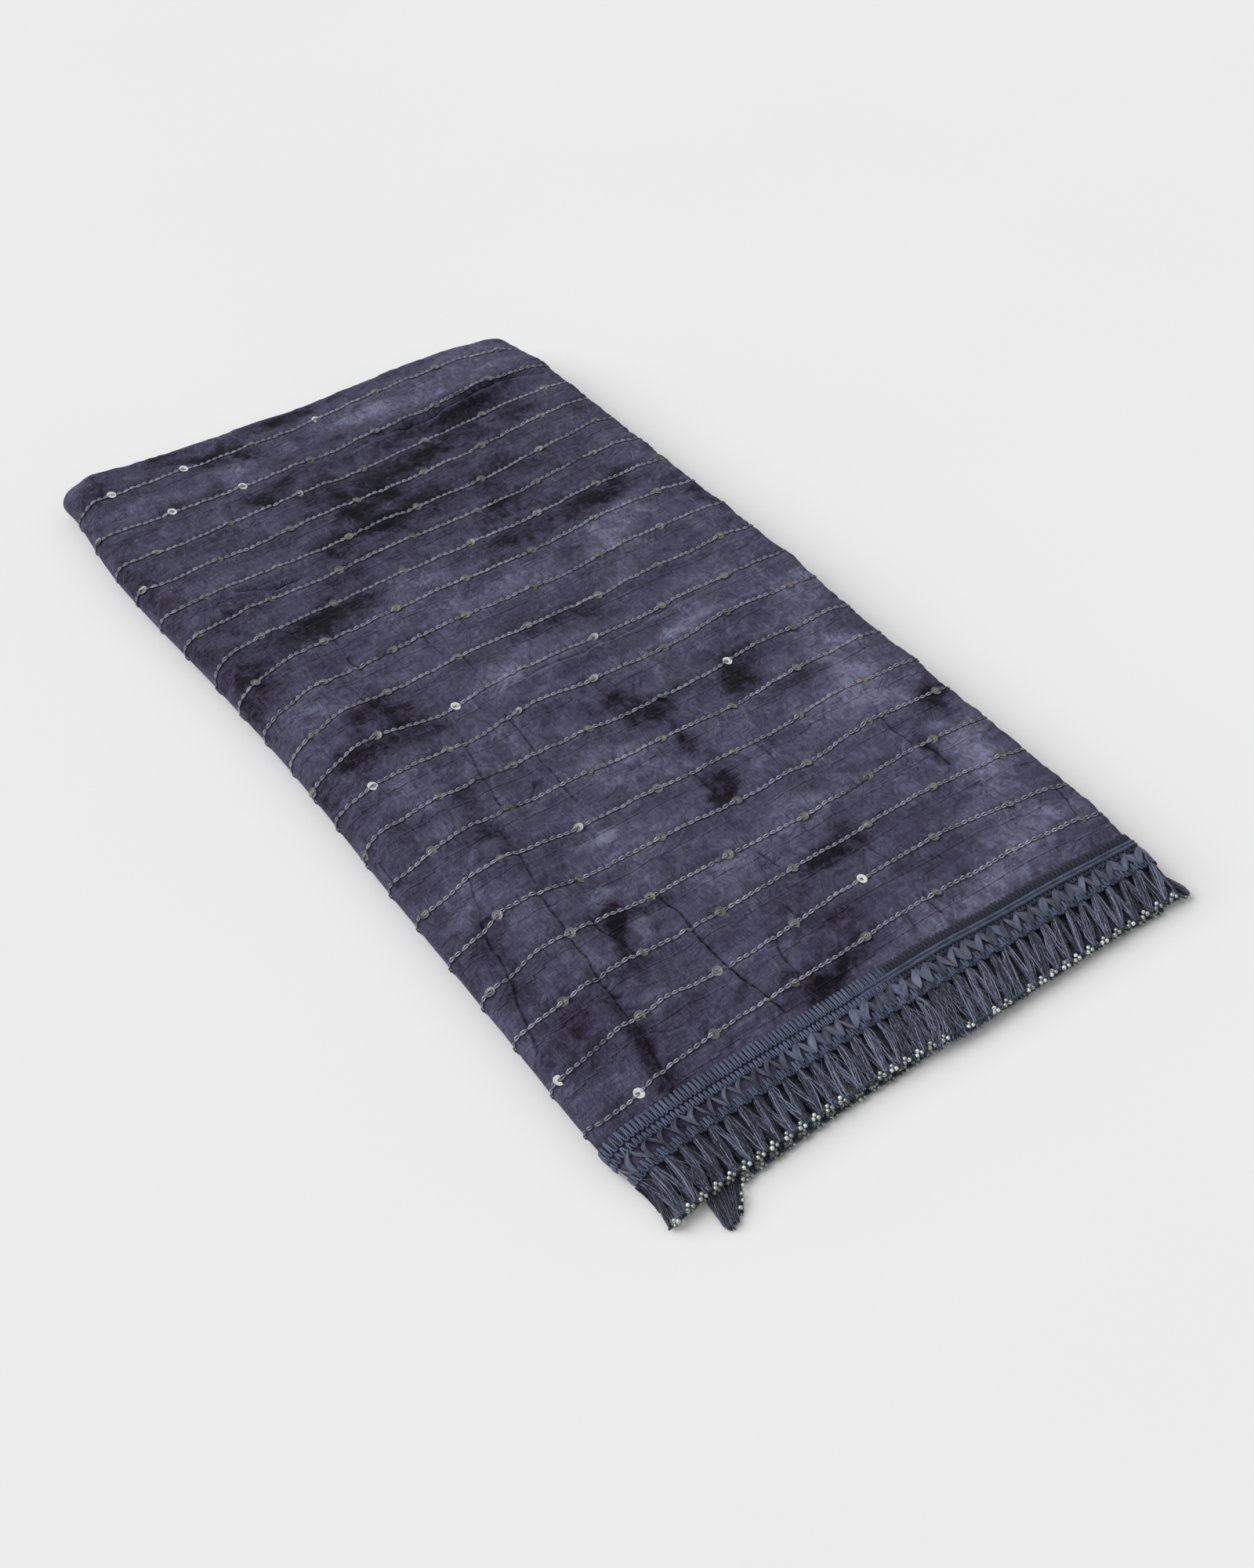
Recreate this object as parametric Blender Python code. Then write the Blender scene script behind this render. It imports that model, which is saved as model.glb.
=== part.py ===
"""A dupatta folded into a flat packet: cloth, lace and beaded fringe as closed solids, in metres, +Z up.

The packet lies on the floor at z = 0. Its lace end faces -Y, its folded end +Y, and the long fold that wraps
the whole thickness is at -X. Tables and sizes below are in millimetres and MM turns them into metres.
"""
import functools
import math
import random

import bmesh
import bpy

MM = 0.001


def table(columns, *rows):
    """Rows of numbers as dictionaries keyed by the names in columns."""
    names = columns.split()
    return [dict(zip(names, row)) for row in rows]


# Cloth
WALL = 1.2            # one ply with its embroidery and the air under it
CLEAR = 0.3           # between two pieces
SLIT = 0.6            # between the upper and the lower stack, seen from the right
TUCK = 24.0           # how far the top ply runs back in under the upper stack
LEFT_ROUND = 0.75     # width of the rounded left fold, as a share of the height
SELVEDGE_INSET = 3.0  # the bottom ply stops this far inside the right side
NOSE = 1.5            # outer radius of the ply's fold at the back
RETURN = 13.0         # length of ply that runs forward again inside the back fold
CLOTH_FRONT = -246.0
CLOTH_BACK = 276.0

# The packet's outline from above and its height, from the lace end to the back
OUTLINE = table(
    "y left right height",
    (-268, -139.0, 138.0, 5.0),
    (-256, -140.0, 141.0, 8.2),
    (-246, -141.0, 143.0, 10.8),
    (-228, -142.2, 144.5, 13.2),
    (-200, -142.6, 146.0, 15.0),
    (-140, -142.0, 145.6, 16.2),
    (-60, -141.6, 145.0, 17.0),
    (20, -140.6, 146.8, 17.4),
    (100, -143.0, 145.2, 17.2),
    (170, -147.2, 143.6, 17.4),
    (208, -147.8, 142.8, 17.8),
    (250, -144.8, 140.6, 17.2),
    (278, -141.6, 136.6, 16.4),
)

# How far the back fold and the lace line wander from straight, along the width
BACK_WAVE = table(
    "x shift",
    (-142, -4.0), (-133, 2.6), (-114, 2.8), (-86, 2.0), (-59, -0.4), (-30, -1.2), (0, -1.5),
    (32, 0.8), (64, 2.0), (98, 4.0), (113, 2.4), (127, -1.5), (140, -6.0),
)
LACE_WAVE = table(
    "x shift",
    (-142, 0.0), (-112, 2.2), (-75, 4.6), (-30, 5.4), (27, 3.2), (60, 0.2), (94, -1.6), (142, -5.0),
)
BACK_WAVE_FROM, BACK_WAVE_FULL = 190.0, 272.0
LACE_WAVE_FROM, LACE_WAVE_FULL = -130.0, -226.0
BEAD_EDGE_WAVE = 0.5  # share of the lace line's wander that the beaded edge still has

# Largest soft ridges (height above 0) and troughs (below 0) of the top, each along a straight line
CREASES = table(
    "x0 y0 x1 y1 half_width height",
    (16, 226, 142, 240, 12, 1.8),
    (-10, 206, 132, 217, 11, -1.4),
    (-136, 268, -118, 274, 10, 1.8),
    (-116, 66, -66, -56, 13, 1.4),
    (-100, -44, -78, -196, 12, 1.6),
    (-68, 20, -52, -150, 11, -1.2),
    (-128, -64, -120, -214, 11, -1.5),
    (-20, 2, 108, -4, 13, 1.0),
    (24, -70, 76, -190, 17, 1.3),
    (96, 66, 126, -120, 16, -1.0),
    (-20, 134, 66, 104, 18, 1.2),
    (-92, 176, -30, 150, 14, -1.0),
)

# Columns of quads in each stretch of the outer ply's section
STRETCHES = table(
    "name columns",
    ("tuck", 1),
    ("right_fold", 6),
    ("top", 18),
    ("left_fold", 7),
    ("bottom", 3),
)
CLOTH_ROWS = 20
ROW_CROWDING = 1.25   # rows lie closer together towards the lace
NOSE_STEPS = 4
ROW_BEFORE_RETURN = 0.5  # the last straight row lies this far in front of the rolled-in ply

# Layered selvedges down the right side of the lower stack, from its top to the floor
SELVEDGES = table(
    "inset",
    (0.6,), (2.2,), (1.2,), (3.0,),
)
SELVEDGE_GROOVE = 1.3
SELVEDGE_EDGE = (0.35, 0.7)  # shares of a layer's height between which its edge stands furthest out
HIDDEN_FRONT = table("y depth", (-242.0, 2.4), (-240.6, 1.8))
HIDDEN_ROUNDING = 0.4

# Lace, across its width from the cloth to the beads
LACE_PITCH = 7.8        # one repeat along the edge
LACE_LIFT = 0.5         # over the cloth that it is sewn to, so its straight steps clear the rounded folds
BENT_REPEATS = 3        # repeats at each end that bend round a fold and so are stepped more finely
FOLD_SAMPLES = 16       # steps in which the length of an edge round a fold is measured
TAPE_THICK = 0.9
RIBBON = 1.85           # half the foot of the zigzag ribbon, so its gaps are 4.1 wide
RIGHT_SHARE = 0.8       # the top lace starts this far round the right fold
LEFT_SHARE = 0.62       # and ends this far round the left one
TAPE_LINES = {"top": -228.0, "upper": -237.5, "lower": -244.6, "edge": -246.6}

# One fringe lock from root to tip: centre and half width across the repeat, top below the lace's own top
LOCK = table(
    "y centre half_width top thick",
    (-249.6, 1.00, 0.80, 0.0, 1.1),
    (-257.5, 1.95, 1.50, 0.2, 1.5),
    (-265.6, 2.70, 1.00, 0.6, 1.1),
)
FRINGE_BACK = -246.9
TIP_JITTER = 0.6
CORD = 1.2              # thread and small beads along the tips
CORD_COLUMNS = 44

# The lower plies' lace lies on the floor: its line against the top lace, and its height there
LOWER_WAVE = table(
    "x shift",
    (-104, -3.4), (-78, -2.6), (-53, -2.0), (-15, -1.4), (20, 0.8), (90, 1.4), (122, -1.2), (132, -2.2),
)
LOWER_LEFT, LOWER_RIGHT = -104.5, 133.0
LOWER_TOP = table("y height", (-265.6, 1.7), (-257.5, 2.6), (-246.9, 2.3))

# Locks of a lower ply that have slipped out in front near the left corner
TUFT_LOCKS = table(
    "root_x tip_x tip_y",
    (-120.6, -122.2, -271.5),
    (-118.9, -119.6, -276.0),
    (-117.2, -117.4, -281.0),
    (-115.5, -114.9, -281.5),
    (-113.8, -112.2, -279.6),
    (-112.1, -109.6, -278.8),
    (-110.4, -107.4, -273.6),
)
TUFT_SHAPE = table(
    "share half_width top thick",
    (0.0, 0.60, 1.6, 1.1),
    (0.55, 0.62, 1.5, 1.1),
    (1.0, 0.35, 1.3, 0.8),
)
TUFT_BACK, TUFT_ROOT = -246.8, -248.4

SHARP_ANGLE = 40.0  # degrees
LOOKS = {
    "outer_cloth": {"colour": (0.075, 0.068, 0.118), "roughness": 0.75},
    "hidden_layers": {"colour": (0.06, 0.055, 0.10), "roughness": 0.8},
    "lace_tape": {"colour": (0.105, 0.125, 0.20), "roughness": 0.6},
    "fringe_top": {"colour": (0.09, 0.105, 0.19), "roughness": 0.45},
    "fringe_lower": {"colour": (0.07, 0.08, 0.15), "roughness": 0.5},
    "fringe_tuft": {"colour": (0.05, 0.055, 0.10), "roughness": 0.5},
    "bead_cord_top": {"colour": (0.42, 0.46, 0.50), "roughness": 0.35},
    "bead_cord_lower": {"colour": (0.42, 0.46, 0.50), "roughness": 0.35},
}


def blend(t):
    """Smooth step from 0 to 1."""
    t = min(max(t, 0.0), 1.0)
    return t * t * (3.0 - 2.0 * t)


def read(rows, key, column, at):
    """A smooth curve through a column of a table, flat beyond its first and last rows."""
    if at <= rows[0][key]:
        return rows[0][column]
    if at >= rows[-1][key]:
        return rows[-1][column]
    last = len(rows) - 1
    i = max(k for k in range(last) if rows[k][key] <= at)

    def slope(k):
        before, after = rows[max(k - 1, 0)], rows[min(k + 1, last)]
        return (after[column] - before[column]) / (after[key] - before[key])

    a, b = rows[i], rows[i + 1]
    span = b[key] - a[key]
    t = (at - a[key]) / span
    start = (2 * t**3 - 3 * t**2 + 1) * a[column] + (t**3 - 2 * t**2 + t) * span * slope(i)
    end = (3 * t**2 - 2 * t**3) * b[column] + (t**3 - t**2) * span * slope(i + 1)
    return start + end


def height_at(y):
    return read(OUTLINE, "y", "height", y)


def skin(stretch, t, y, depth):
    """Point (x, y, z) of the packet's skin: t runs 0 to 1 along a stretch and depth is measured inwards."""
    left = read(OUTLINE, "y", "left", y)
    right = read(OUTLINE, "y", "right", y)
    high = height_at(y)
    middle = high / 2 + SLIT / 2
    fold = (high - middle) / 2
    round_width = LEFT_ROUND * high
    if stretch == "tuck":
        return (right - fold - TUCK * (1 - t), y, middle + depth)
    if stretch == "right_fold":
        angle = math.pi * (t - 0.5)
        radius = fold - depth
        return (right - fold + radius * math.cos(angle), y, middle + fold + radius * math.sin(angle))
    if stretch == "top":
        return (right - fold + (left + round_width - right + fold) * t, y, high - depth)
    if stretch == "left_fold":
        angle = math.pi * (t + 0.5)
        across, up = math.cos(angle), math.sin(angle)
        normal = (across / round_width, up / (high / 2))
        size = math.hypot(*normal)
        x = left + round_width + round_width * across - depth * normal[0] / size
        z = high / 2 + high / 2 * up - depth * normal[1] / size
        return (x, y, z)
    start = left + round_width
    return (start + (right - SELVEDGE_INSET - start) * t, y, depth)


def relief(x, y):
    """How far the creases lift the top at (x, y)."""
    total = 0.0
    for c in CREASES:
        dx, dy = c["x1"] - c["x0"], c["y1"] - c["y0"]
        length = math.hypot(dx, dy)
        along = ((x - c["x0"]) * dx + (y - c["y0"]) * dy) / length
        beside = ((x - c["x0"]) * dy - (y - c["y0"]) * dx) / length
        past_end = max(-along, along - length, 0.0)
        total += c["height"] * math.exp(-(beside**2 + past_end**2) / c["half_width"] ** 2)
    return total


def settle(point):
    """Moves a point of the straight packet to its place in the creased one, in metres."""
    x, y, z = point
    share = max(z, 0.0) / height_at(y)
    z += relief(x, y) * share**2
    y += read(BACK_WAVE, "x", "shift", x) * blend((y - BACK_WAVE_FROM) / (BACK_WAVE_FULL - BACK_WAVE_FROM))
    to_lace = blend((y - LACE_WAVE_FROM) / (LACE_WAVE_FULL - LACE_WAVE_FROM))
    braid, beads = TAPE_LINES["top"], LOCK[-1]["y"]
    to_beads = blend((y - braid) / (beads - braid))
    y += read(LACE_WAVE, "x", "shift", x) * to_lace * (1 - (1 - BEAD_EDGE_WAVE) * to_beads)
    return (x * MM, y * MM, z * MM)


class Solid:
    """A closed mesh put together from named points, each made once."""

    def __init__(self):
        self.mesh = bmesh.new()
        self.points = {}

    def at(self, key, point):
        """The vertex called key, made at a packet point on its first use."""
        if key not in self.points:
            self.points[key] = self.mesh.verts.new(settle(point))
        return self.points[key]

    def face(self, *keys):
        """Adds a face, a quad as two triangles from its first corner so that layers match each other."""
        corners = [self.points[k] for k in keys]
        if len(corners) == 4:
            self.mesh.faces.new(corners[:3])
            self.mesh.faces.new((corners[0], corners[2], corners[3]))
        else:
            self.mesh.faces.new(corners)

    def thicken(self, faces):
        """Closes a sheet of faces, rings of keys, into a wall between its sides 0 and 1."""
        edges = {}
        for ring in faces:
            for side in (0, 1):
                self.face(*[(side, key) for key in ring])
            for a, b in zip(ring, ring[1:] + ring[:1]):
                edges.setdefault(frozenset((a, b)), []).append((a, b))
        for uses in edges.values():
            if len(uses) == 1:
                a, b = uses[0]
                self.face((0, a), (0, b), (1, b), (1, a))

    def finish(self, name):
        """Makes the object, with faces pointing out and its own material."""
        bmesh.ops.recalc_face_normals(self.mesh, faces=self.mesh.faces)
        bmesh.ops.triangulate(self.mesh, faces=self.mesh.faces)
        data = bpy.data.meshes.new(name)
        self.mesh.to_mesh(data)
        self.mesh.free()
        data.shade_smooth()
        data.set_sharp_from_angle(angle=math.radians(SHARP_ANGLE))
        material = bpy.data.materials.new(name)
        material.use_nodes = True
        shader = material.node_tree.nodes["Principled BSDF"]
        shader.inputs["Base Color"].default_value = (*LOOKS[name]["colour"], 1.0)
        shader.inputs["Roughness"].default_value = LOOKS[name]["roughness"]
        shader.inputs["Metallic"].default_value = 0.0
        data.materials.append(material)
        bpy.context.scene.collection.objects.link(bpy.data.objects.new(name, data))


def section_places():
    """The (stretch, t) places of a section's columns, with each shared end given once."""
    places = []
    for s in STRETCHES:
        places += [(s["name"], k / s["columns"]) for k in range(s["columns"])]
    return places + [(STRETCHES[-1]["name"], 1.0)]


def straight_rows():
    """Where the rows of the cloth lie, from the lace to just before the rolled-in back."""
    length = CLOTH_BACK - NOSE - RETURN - ROW_BEFORE_RETURN - CLOTH_FRONT
    return [CLOTH_FRONT + length * (r / CLOTH_ROWS) ** ROW_CROWDING for r in range(CLOTH_ROWS + 1)]


def outer_cloth():
    """The outermost ply: it wraps the packet, rolls in at the back and ends at its tuck and selvedge."""
    places = section_places()
    nose_at = CLOTH_BACK - NOSE
    rows = [((y, 0.0), (y, WALL)) for y in straight_rows()]
    for r in range(NOSE_STEPS + 1):
        angle = math.pi * r / NOSE_STEPS
        outer = (nose_at + NOSE * math.sin(angle), NOSE - NOSE * math.cos(angle))
        inner_radius = NOSE - WALL
        inner = (nose_at + inner_radius * math.sin(angle), NOSE - inner_radius * math.cos(angle))
        rows.append((outer, inner))
    rows.append(((nose_at - RETURN, 2 * NOSE), (nose_at - RETURN, 2 * NOSE - WALL)))
    solid = Solid()
    for side in (0, 1):
        for r, row in enumerate(rows):
            y, depth = row[side]
            for c, (stretch, t) in enumerate(places):
                solid.at((side, (r, c)), skin(stretch, t, y, depth))
    faces = []
    for r in range(len(rows) - 1):
        runs_forward = rows[r + 1][0][0] < rows[r][0][0]
        for c in range(len(places) - 1):
            corners = [(r, c), (r + 1, c), (r + 1, c + 1), (r, c + 1)]
            faces.append(corners[-1:] + corners[:-1] if runs_forward else corners)
    solid.thicken(faces)
    solid.finish("outer_cloth")


def hidden_section(y, depth):
    """Closed outline of the plies inside the outer one, at y, lying depth below the packet's skin."""
    outline = [skin(stretch, t, y, depth) for stretch, t in section_places()]
    right = read(OUTLINE, "y", "right", y)
    high = height_at(y)
    ceiling = high / 2 - SLIT / 2
    start_x = outline[0][0] - CLEAR
    outline[0] = (start_x, y, outline[0][2])
    outline[-1] = (right - SELVEDGE_INSET - CLEAR, y, depth)
    step = (ceiling - depth) / len(SELVEDGES)
    for k, layer in enumerate(reversed(SELVEDGES)):
        low = depth + k * step
        edge = right - layer["inset"]
        if k:
            outline.append((edge - SELVEDGE_GROOVE, y, low))
        outline += [(edge, y, low + share * step) for share in SELVEDGE_EDGE]
    outline.append((right - SELVEDGES[0]["inset"] - SELVEDGE_GROOVE, y, ceiling))
    outline.append((start_x, y, ceiling))
    return outline


def hidden_layers():
    """The plies under the outer one as one rounded solid, layered along its selvedges and back folds."""
    under = WALL + CLEAR
    inside_nose = 2 * NOSE + CLEAR
    nose_at = CLOTH_BACK - NOSE
    rows = [(step["y"], step["depth"]) for step in HIDDEN_FRONT]
    rows += [(y, under) for y in straight_rows()[1:]]
    rows.append((nose_at - RETURN - CLEAR, inside_nose))
    rows.append((nose_at, inside_nose))
    rows.append((nose_at + NOSE / 2, inside_nose + HIDDEN_ROUNDING))
    solid = Solid()
    count = 0
    for r, (y, depth) in enumerate(rows):
        outline = hidden_section(y, depth)
        count = len(outline)
        for c, point in enumerate(outline):
            solid.at((r, c), point)
    for r in range(len(rows) - 1):
        for c in range(count):
            d = (c + 1) % count
            solid.face((r, c), (r + 1, c), (r + 1, d), (r, d))
    for r in (0, len(rows) - 1):
        solid.face(*[(r, c) for c in range(count)])
    solid.finish("hidden_layers")


@functools.lru_cache(maxsize=None)
def edge_samples(y):
    """Samples (length, stretch, t) along the skin at y, from the right fold over the top to the left one."""
    spans = [
        ("right_fold", FOLD_SAMPLES, RIGHT_SHARE, 1.0),
        ("top", 1, 0.0, 1.0),
        ("left_fold", FOLD_SAMPLES, 0.0, LEFT_SHARE),
    ]
    samples = []
    length = 0.0
    before = None
    for stretch, steps, start, end in spans:
        for k in range(steps + 1):
            t = start + (end - start) * k / steps
            point = skin(stretch, t, y, 0.0)
            if before and k:
                length += math.dist(point, before)
            before = point
            samples.append((length, stretch, t))
    return samples


def edge_point(share, y, depth):
    """Packet point at a share of the way along the lace's edge, from the right fold to the left one."""
    samples = edge_samples(y)
    target = share * samples[-1][0]
    for (low, _, start), (high, stretch, end) in zip(samples, samples[1:]):
        if target <= high and high > low:
            t = start + (end - start) * (target - low) / (high - low)
            return skin(stretch, t, y, depth)
    return skin(samples[-1][1], samples[-1][2], y, depth)


def repeats_along(length):
    return int(length // LACE_PITCH)


def lace_tape():
    """The braid sewn to the cloth and the zigzag ribbon below it, cut through between its legs."""
    repeats = repeats_along(edge_samples(TAPE_LINES["upper"])[-1][0])
    whole = repeats * LACE_PITCH
    solid = Solid()

    def key(line, at):
        name = (line, round(at, 3))
        for side, depth in ((0, -LACE_LIFT - TAPE_THICK), (1, -LACE_LIFT)):
            solid.at((side, name), edge_point(at / whole, TAPE_LINES[line], depth))
        return name

    def strip(back, front, stops):
        pairs = zip(stops, stops[1:])
        return [[key(back, a), key(back, b), key(front, b), key(front, a)] for a, b in pairs]

    upper, lower, ribbon = [0.0], [], []
    for k in range(repeats):
        foot, point, next_foot = k * LACE_PITCH, (k + 0.5) * LACE_PITCH, (k + 1) * LACE_PITCH
        bent = min(k, repeats - 1 - k) < BENT_REPEATS
        upper += [foot + RIBBON] + [point] * bent + [next_foot - RIBBON, next_foot]
        lower += [foot] * (bent and k > 0) + [point - RIBBON, point, point + RIBBON]
        for high, low in ((foot, point - RIBBON), (next_foot - RIBBON, point)):
            top_edge = [key("upper", high), key("upper", high + RIBBON)]
            bottom_edge = [key("lower", low + RIBBON), key("lower", low)]
            ribbon.append(top_edge + bottom_edge)
    solid.thicken(strip("top", "upper", upper) + ribbon + strip("lower", "edge", lower))
    solid.finish("lace_tape")


def fringe_sheet(repeats, rng):
    """Faces of a fringe, and the tip shift of each key (row, place across); row 0 is its strip's back."""
    faces = []
    places = {}
    back, front = [], []

    def key(row, at, shift=0.0):
        name = (row, round(at, 3))
        places[name] = shift
        return name

    for k in range(repeats):
        middle = (k + 0.5) * LACE_PITCH
        for way in (-1, 1):
            ends = []
            shift = rng.uniform(-TIP_JITTER, TIP_JITTER)
            for row, part in enumerate(LOCK, start=1):
                centre = middle + way * part["centre"]
                slip = shift if row == len(LOCK) else 0.0
                ends.append([key(row, centre + edge * part["half_width"], slip) for edge in (-1, 1)])
            for (a, b), (c, d) in zip(ends, ends[1:]):
                faces.append([a, b, d, c])
            front += ends[0]
            back += [key(0, at) for _, at in ends[0]]
    for (a, b), (c, d) in zip(zip(back, back[1:]), zip(front, front[1:])):
        faces.append([a, b, d, c])
    return faces, places


def fringe_top():
    """The top ply's fringe: a strip with two locks to a repeat, sloping down to the beads."""
    whole_length = edge_samples(FRINGE_BACK)[-1][0]
    repeats = repeats_along(whole_length)
    whole = repeats * LACE_PITCH
    solid = Solid()
    faces, places = fringe_sheet(repeats, random.Random(5))
    for (row, at), shift in places.items():
        part = LOCK[max(row - 1, 0)]
        y = FRINGE_BACK if row == 0 else part["y"] + shift
        top = -LACE_LIFT - TAPE_THICK + part["top"]
        for side, depth in ((0, top), (1, top + part["thick"])):
            solid.at((side, (row, at)), edge_point(at / whole, y, depth))
    solid.thicken(faces)
    solid.finish("fringe_top")


def fringe_lower():
    """The fringe of the plies below, flat on the floor and a little in front of the top one."""
    repeats = repeats_along(LOWER_RIGHT - LOWER_LEFT)
    solid = Solid()
    faces, places = fringe_sheet(repeats, random.Random(11))
    for (row, at), shift in places.items():
        part = LOCK[max(row - 1, 0)]
        x = LOWER_LEFT + at
        y = FRINGE_BACK if row == 0 else part["y"] + shift
        top = read(LOWER_TOP, "y", "height", y)
        to_tip = blend((FRINGE_BACK - y) / (FRINGE_BACK - LOCK[-1]["y"]))
        moved = y + read(LOWER_WAVE, "x", "shift", x) * to_tip
        for side, z in ((0, top), (1, top - part["thick"])):
            solid.at((side, (row, at)), (x, moved, z))
    solid.thicken(faces)
    solid.finish("fringe_lower")


def fringe_tuft():
    """Locks of a lower ply fanned out in front of the packet near its left corner, from one short strip."""
    solid = Solid()
    faces, back, root = [], [], []

    def key(row, x, y, top, thick):
        name = (row, round(x, 3))
        for side, z in ((0, top), (1, top - thick)):
            solid.at((side, name), (x, y, z))
        return name

    for lock in TUFT_LOCKS:
        ends = []
        for row, part in enumerate(TUFT_SHAPE, start=1):
            share = part["share"]
            x = lock["root_x"] + (lock["tip_x"] - lock["root_x"]) * share
            y = TUFT_ROOT + (lock["tip_y"] - TUFT_ROOT) * share
            sides = (x - part["half_width"], x + part["half_width"])
            ends.append([key(row, side, y, part["top"], part["thick"]) for side in sides])
        for (a, b), (c, d) in zip(ends, ends[1:]):
            faces.append([a, b, d, c])
        root += ends[0]
        shape = TUFT_SHAPE[0]
        back += [key(0, x, TUFT_BACK, shape["top"], shape["thick"]) for _, x in ends[0]]
    for (a, b), (c, d) in zip(zip(back, back[1:]), zip(root, root[1:])):
        faces.append([a, b, d, c])
    solid.thicken(faces)
    solid.finish("fringe_tuft")


def bead_cord(name, point_at):
    """A square cord of thread and small beads, with its corners where point_at puts them."""
    solid = Solid()
    half = CORD / 2
    corners = ((-half, -half), (half, -half), (half, half), (-half, half))
    for c in range(CORD_COLUMNS + 1):
        for k, (dy, dz) in enumerate(corners):
            solid.at((c, k), point_at(c / CORD_COLUMNS, dy, dz))
    for c in range(CORD_COLUMNS):
        for k in range(4):
            m = (k + 1) % 4
            solid.face((c, k), (c + 1, k), (c + 1, m), (c, m))
    for c in (0, CORD_COLUMNS):
        solid.face(*[(c, k) for k in range(4)])
    solid.finish(name)


def bead_cord_top():
    """The cord along the tips of the top fringe."""
    y = LOCK[-1]["y"] - TIP_JITTER - CLEAR - CORD / 2
    depth = -LACE_LIFT - TAPE_THICK + LOCK[-1]["top"] + LOCK[-1]["thick"] / 2

    def point_at(share, dy, dz):
        return edge_point(share, y + dy, depth - dz)

    bead_cord("bead_cord_top", point_at)


def bead_cord_lower():
    """The cord along the tips of the lower fringe, on the floor."""
    tip = LOCK[-1]
    y = tip["y"] - TIP_JITTER - CLEAR - CORD / 2
    z = read(LOWER_TOP, "y", "height", tip["y"]) - tip["thick"] / 2

    def point_at(share, dy, dz):
        x = LOWER_LEFT + (LOWER_RIGHT - LOWER_LEFT) * share
        return (x, y + dy + read(LOWER_WAVE, "x", "shift", x), z + dz)

    bead_cord("bead_cord_lower", point_at)


def main():
    for obj in list(bpy.data.objects):
        bpy.data.objects.remove(obj)
    outer_cloth()
    hidden_layers()
    lace_tape()
    fringe_top()
    bead_cord_top()
    fringe_lower()
    bead_cord_lower()
    fringe_tuft()


main()
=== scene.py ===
"""Looks of a dupatta folded into a flat packet: cloth, chain stitch, sequins, lace, fringe and beads.

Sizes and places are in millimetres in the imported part's own frame, and MM turns them into metres. The ply
that wraps the packet is measured by u, the distance across it, which is the same as x on top of the packet.
A noise is given its grain sizes in millimetres and its seed, and every random draw has a seed of its own.
"""
import math

import bpy
import numpy as np
from mathutils import Matrix, Vector


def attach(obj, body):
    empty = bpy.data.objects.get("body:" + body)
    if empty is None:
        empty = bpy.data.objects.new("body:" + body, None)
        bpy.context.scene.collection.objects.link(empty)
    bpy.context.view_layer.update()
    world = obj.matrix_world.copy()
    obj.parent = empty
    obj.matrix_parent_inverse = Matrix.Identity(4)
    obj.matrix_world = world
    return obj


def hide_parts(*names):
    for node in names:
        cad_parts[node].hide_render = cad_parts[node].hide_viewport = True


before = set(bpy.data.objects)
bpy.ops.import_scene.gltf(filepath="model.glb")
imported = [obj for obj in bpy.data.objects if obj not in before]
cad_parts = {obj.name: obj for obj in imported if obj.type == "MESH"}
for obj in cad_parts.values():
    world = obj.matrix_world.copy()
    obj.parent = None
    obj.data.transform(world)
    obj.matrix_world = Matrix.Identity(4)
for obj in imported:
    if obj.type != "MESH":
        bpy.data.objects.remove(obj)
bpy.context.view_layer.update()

MM = 0.001


def table(columns, *rows):
    """Rows of numbers as arrays keyed by the names in columns."""
    return {name: np.array([row[k] for row in rows], float) for k, name in enumerate(columns.split())}


def each(rows):
    """The rows of a table, one dictionary at a time."""
    for values in zip(*rows.values()):
        yield dict(zip(rows, values))


# The packet, as in the part's source
SLIT = 0.6                    # gap between the two stacked folds at the right
TUCK = 24.0                   # how far the outer ply runs in through it
LEFT_ROUND = 0.75             # width of the left fold as a share of the packet's height
SELVEDGE_INSET = 3.0
NOSE, RETURN = 1.5, 13.0      # radius of the roll at the back, and how far it runs in again
CLOTH_FRONT, CLOTH_BACK = -246.0, 276.0
LACE_TOP, BEAD_EDGE = -228.0, -265.6
OUTLINE = table(
    "y left right height",
    (-268, -139.0, 138.0, 5.0),
    (-256, -140.0, 141.0, 8.2),
    (-246, -141.0, 143.0, 10.8),
    (-228, -142.2, 144.5, 13.2),
    (-200, -142.6, 146.0, 15.0),
    (-140, -142.0, 145.6, 16.2),
    (-60, -141.6, 145.0, 17.0),
    (20, -140.6, 146.8, 17.4),
    (100, -143.0, 145.2, 17.2),
    (170, -147.2, 143.6, 17.4),
    (208, -147.8, 142.8, 17.8),
    (250, -144.8, 140.6, 17.2),
    (278, -141.6, 136.6, 16.4),
)

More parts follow.
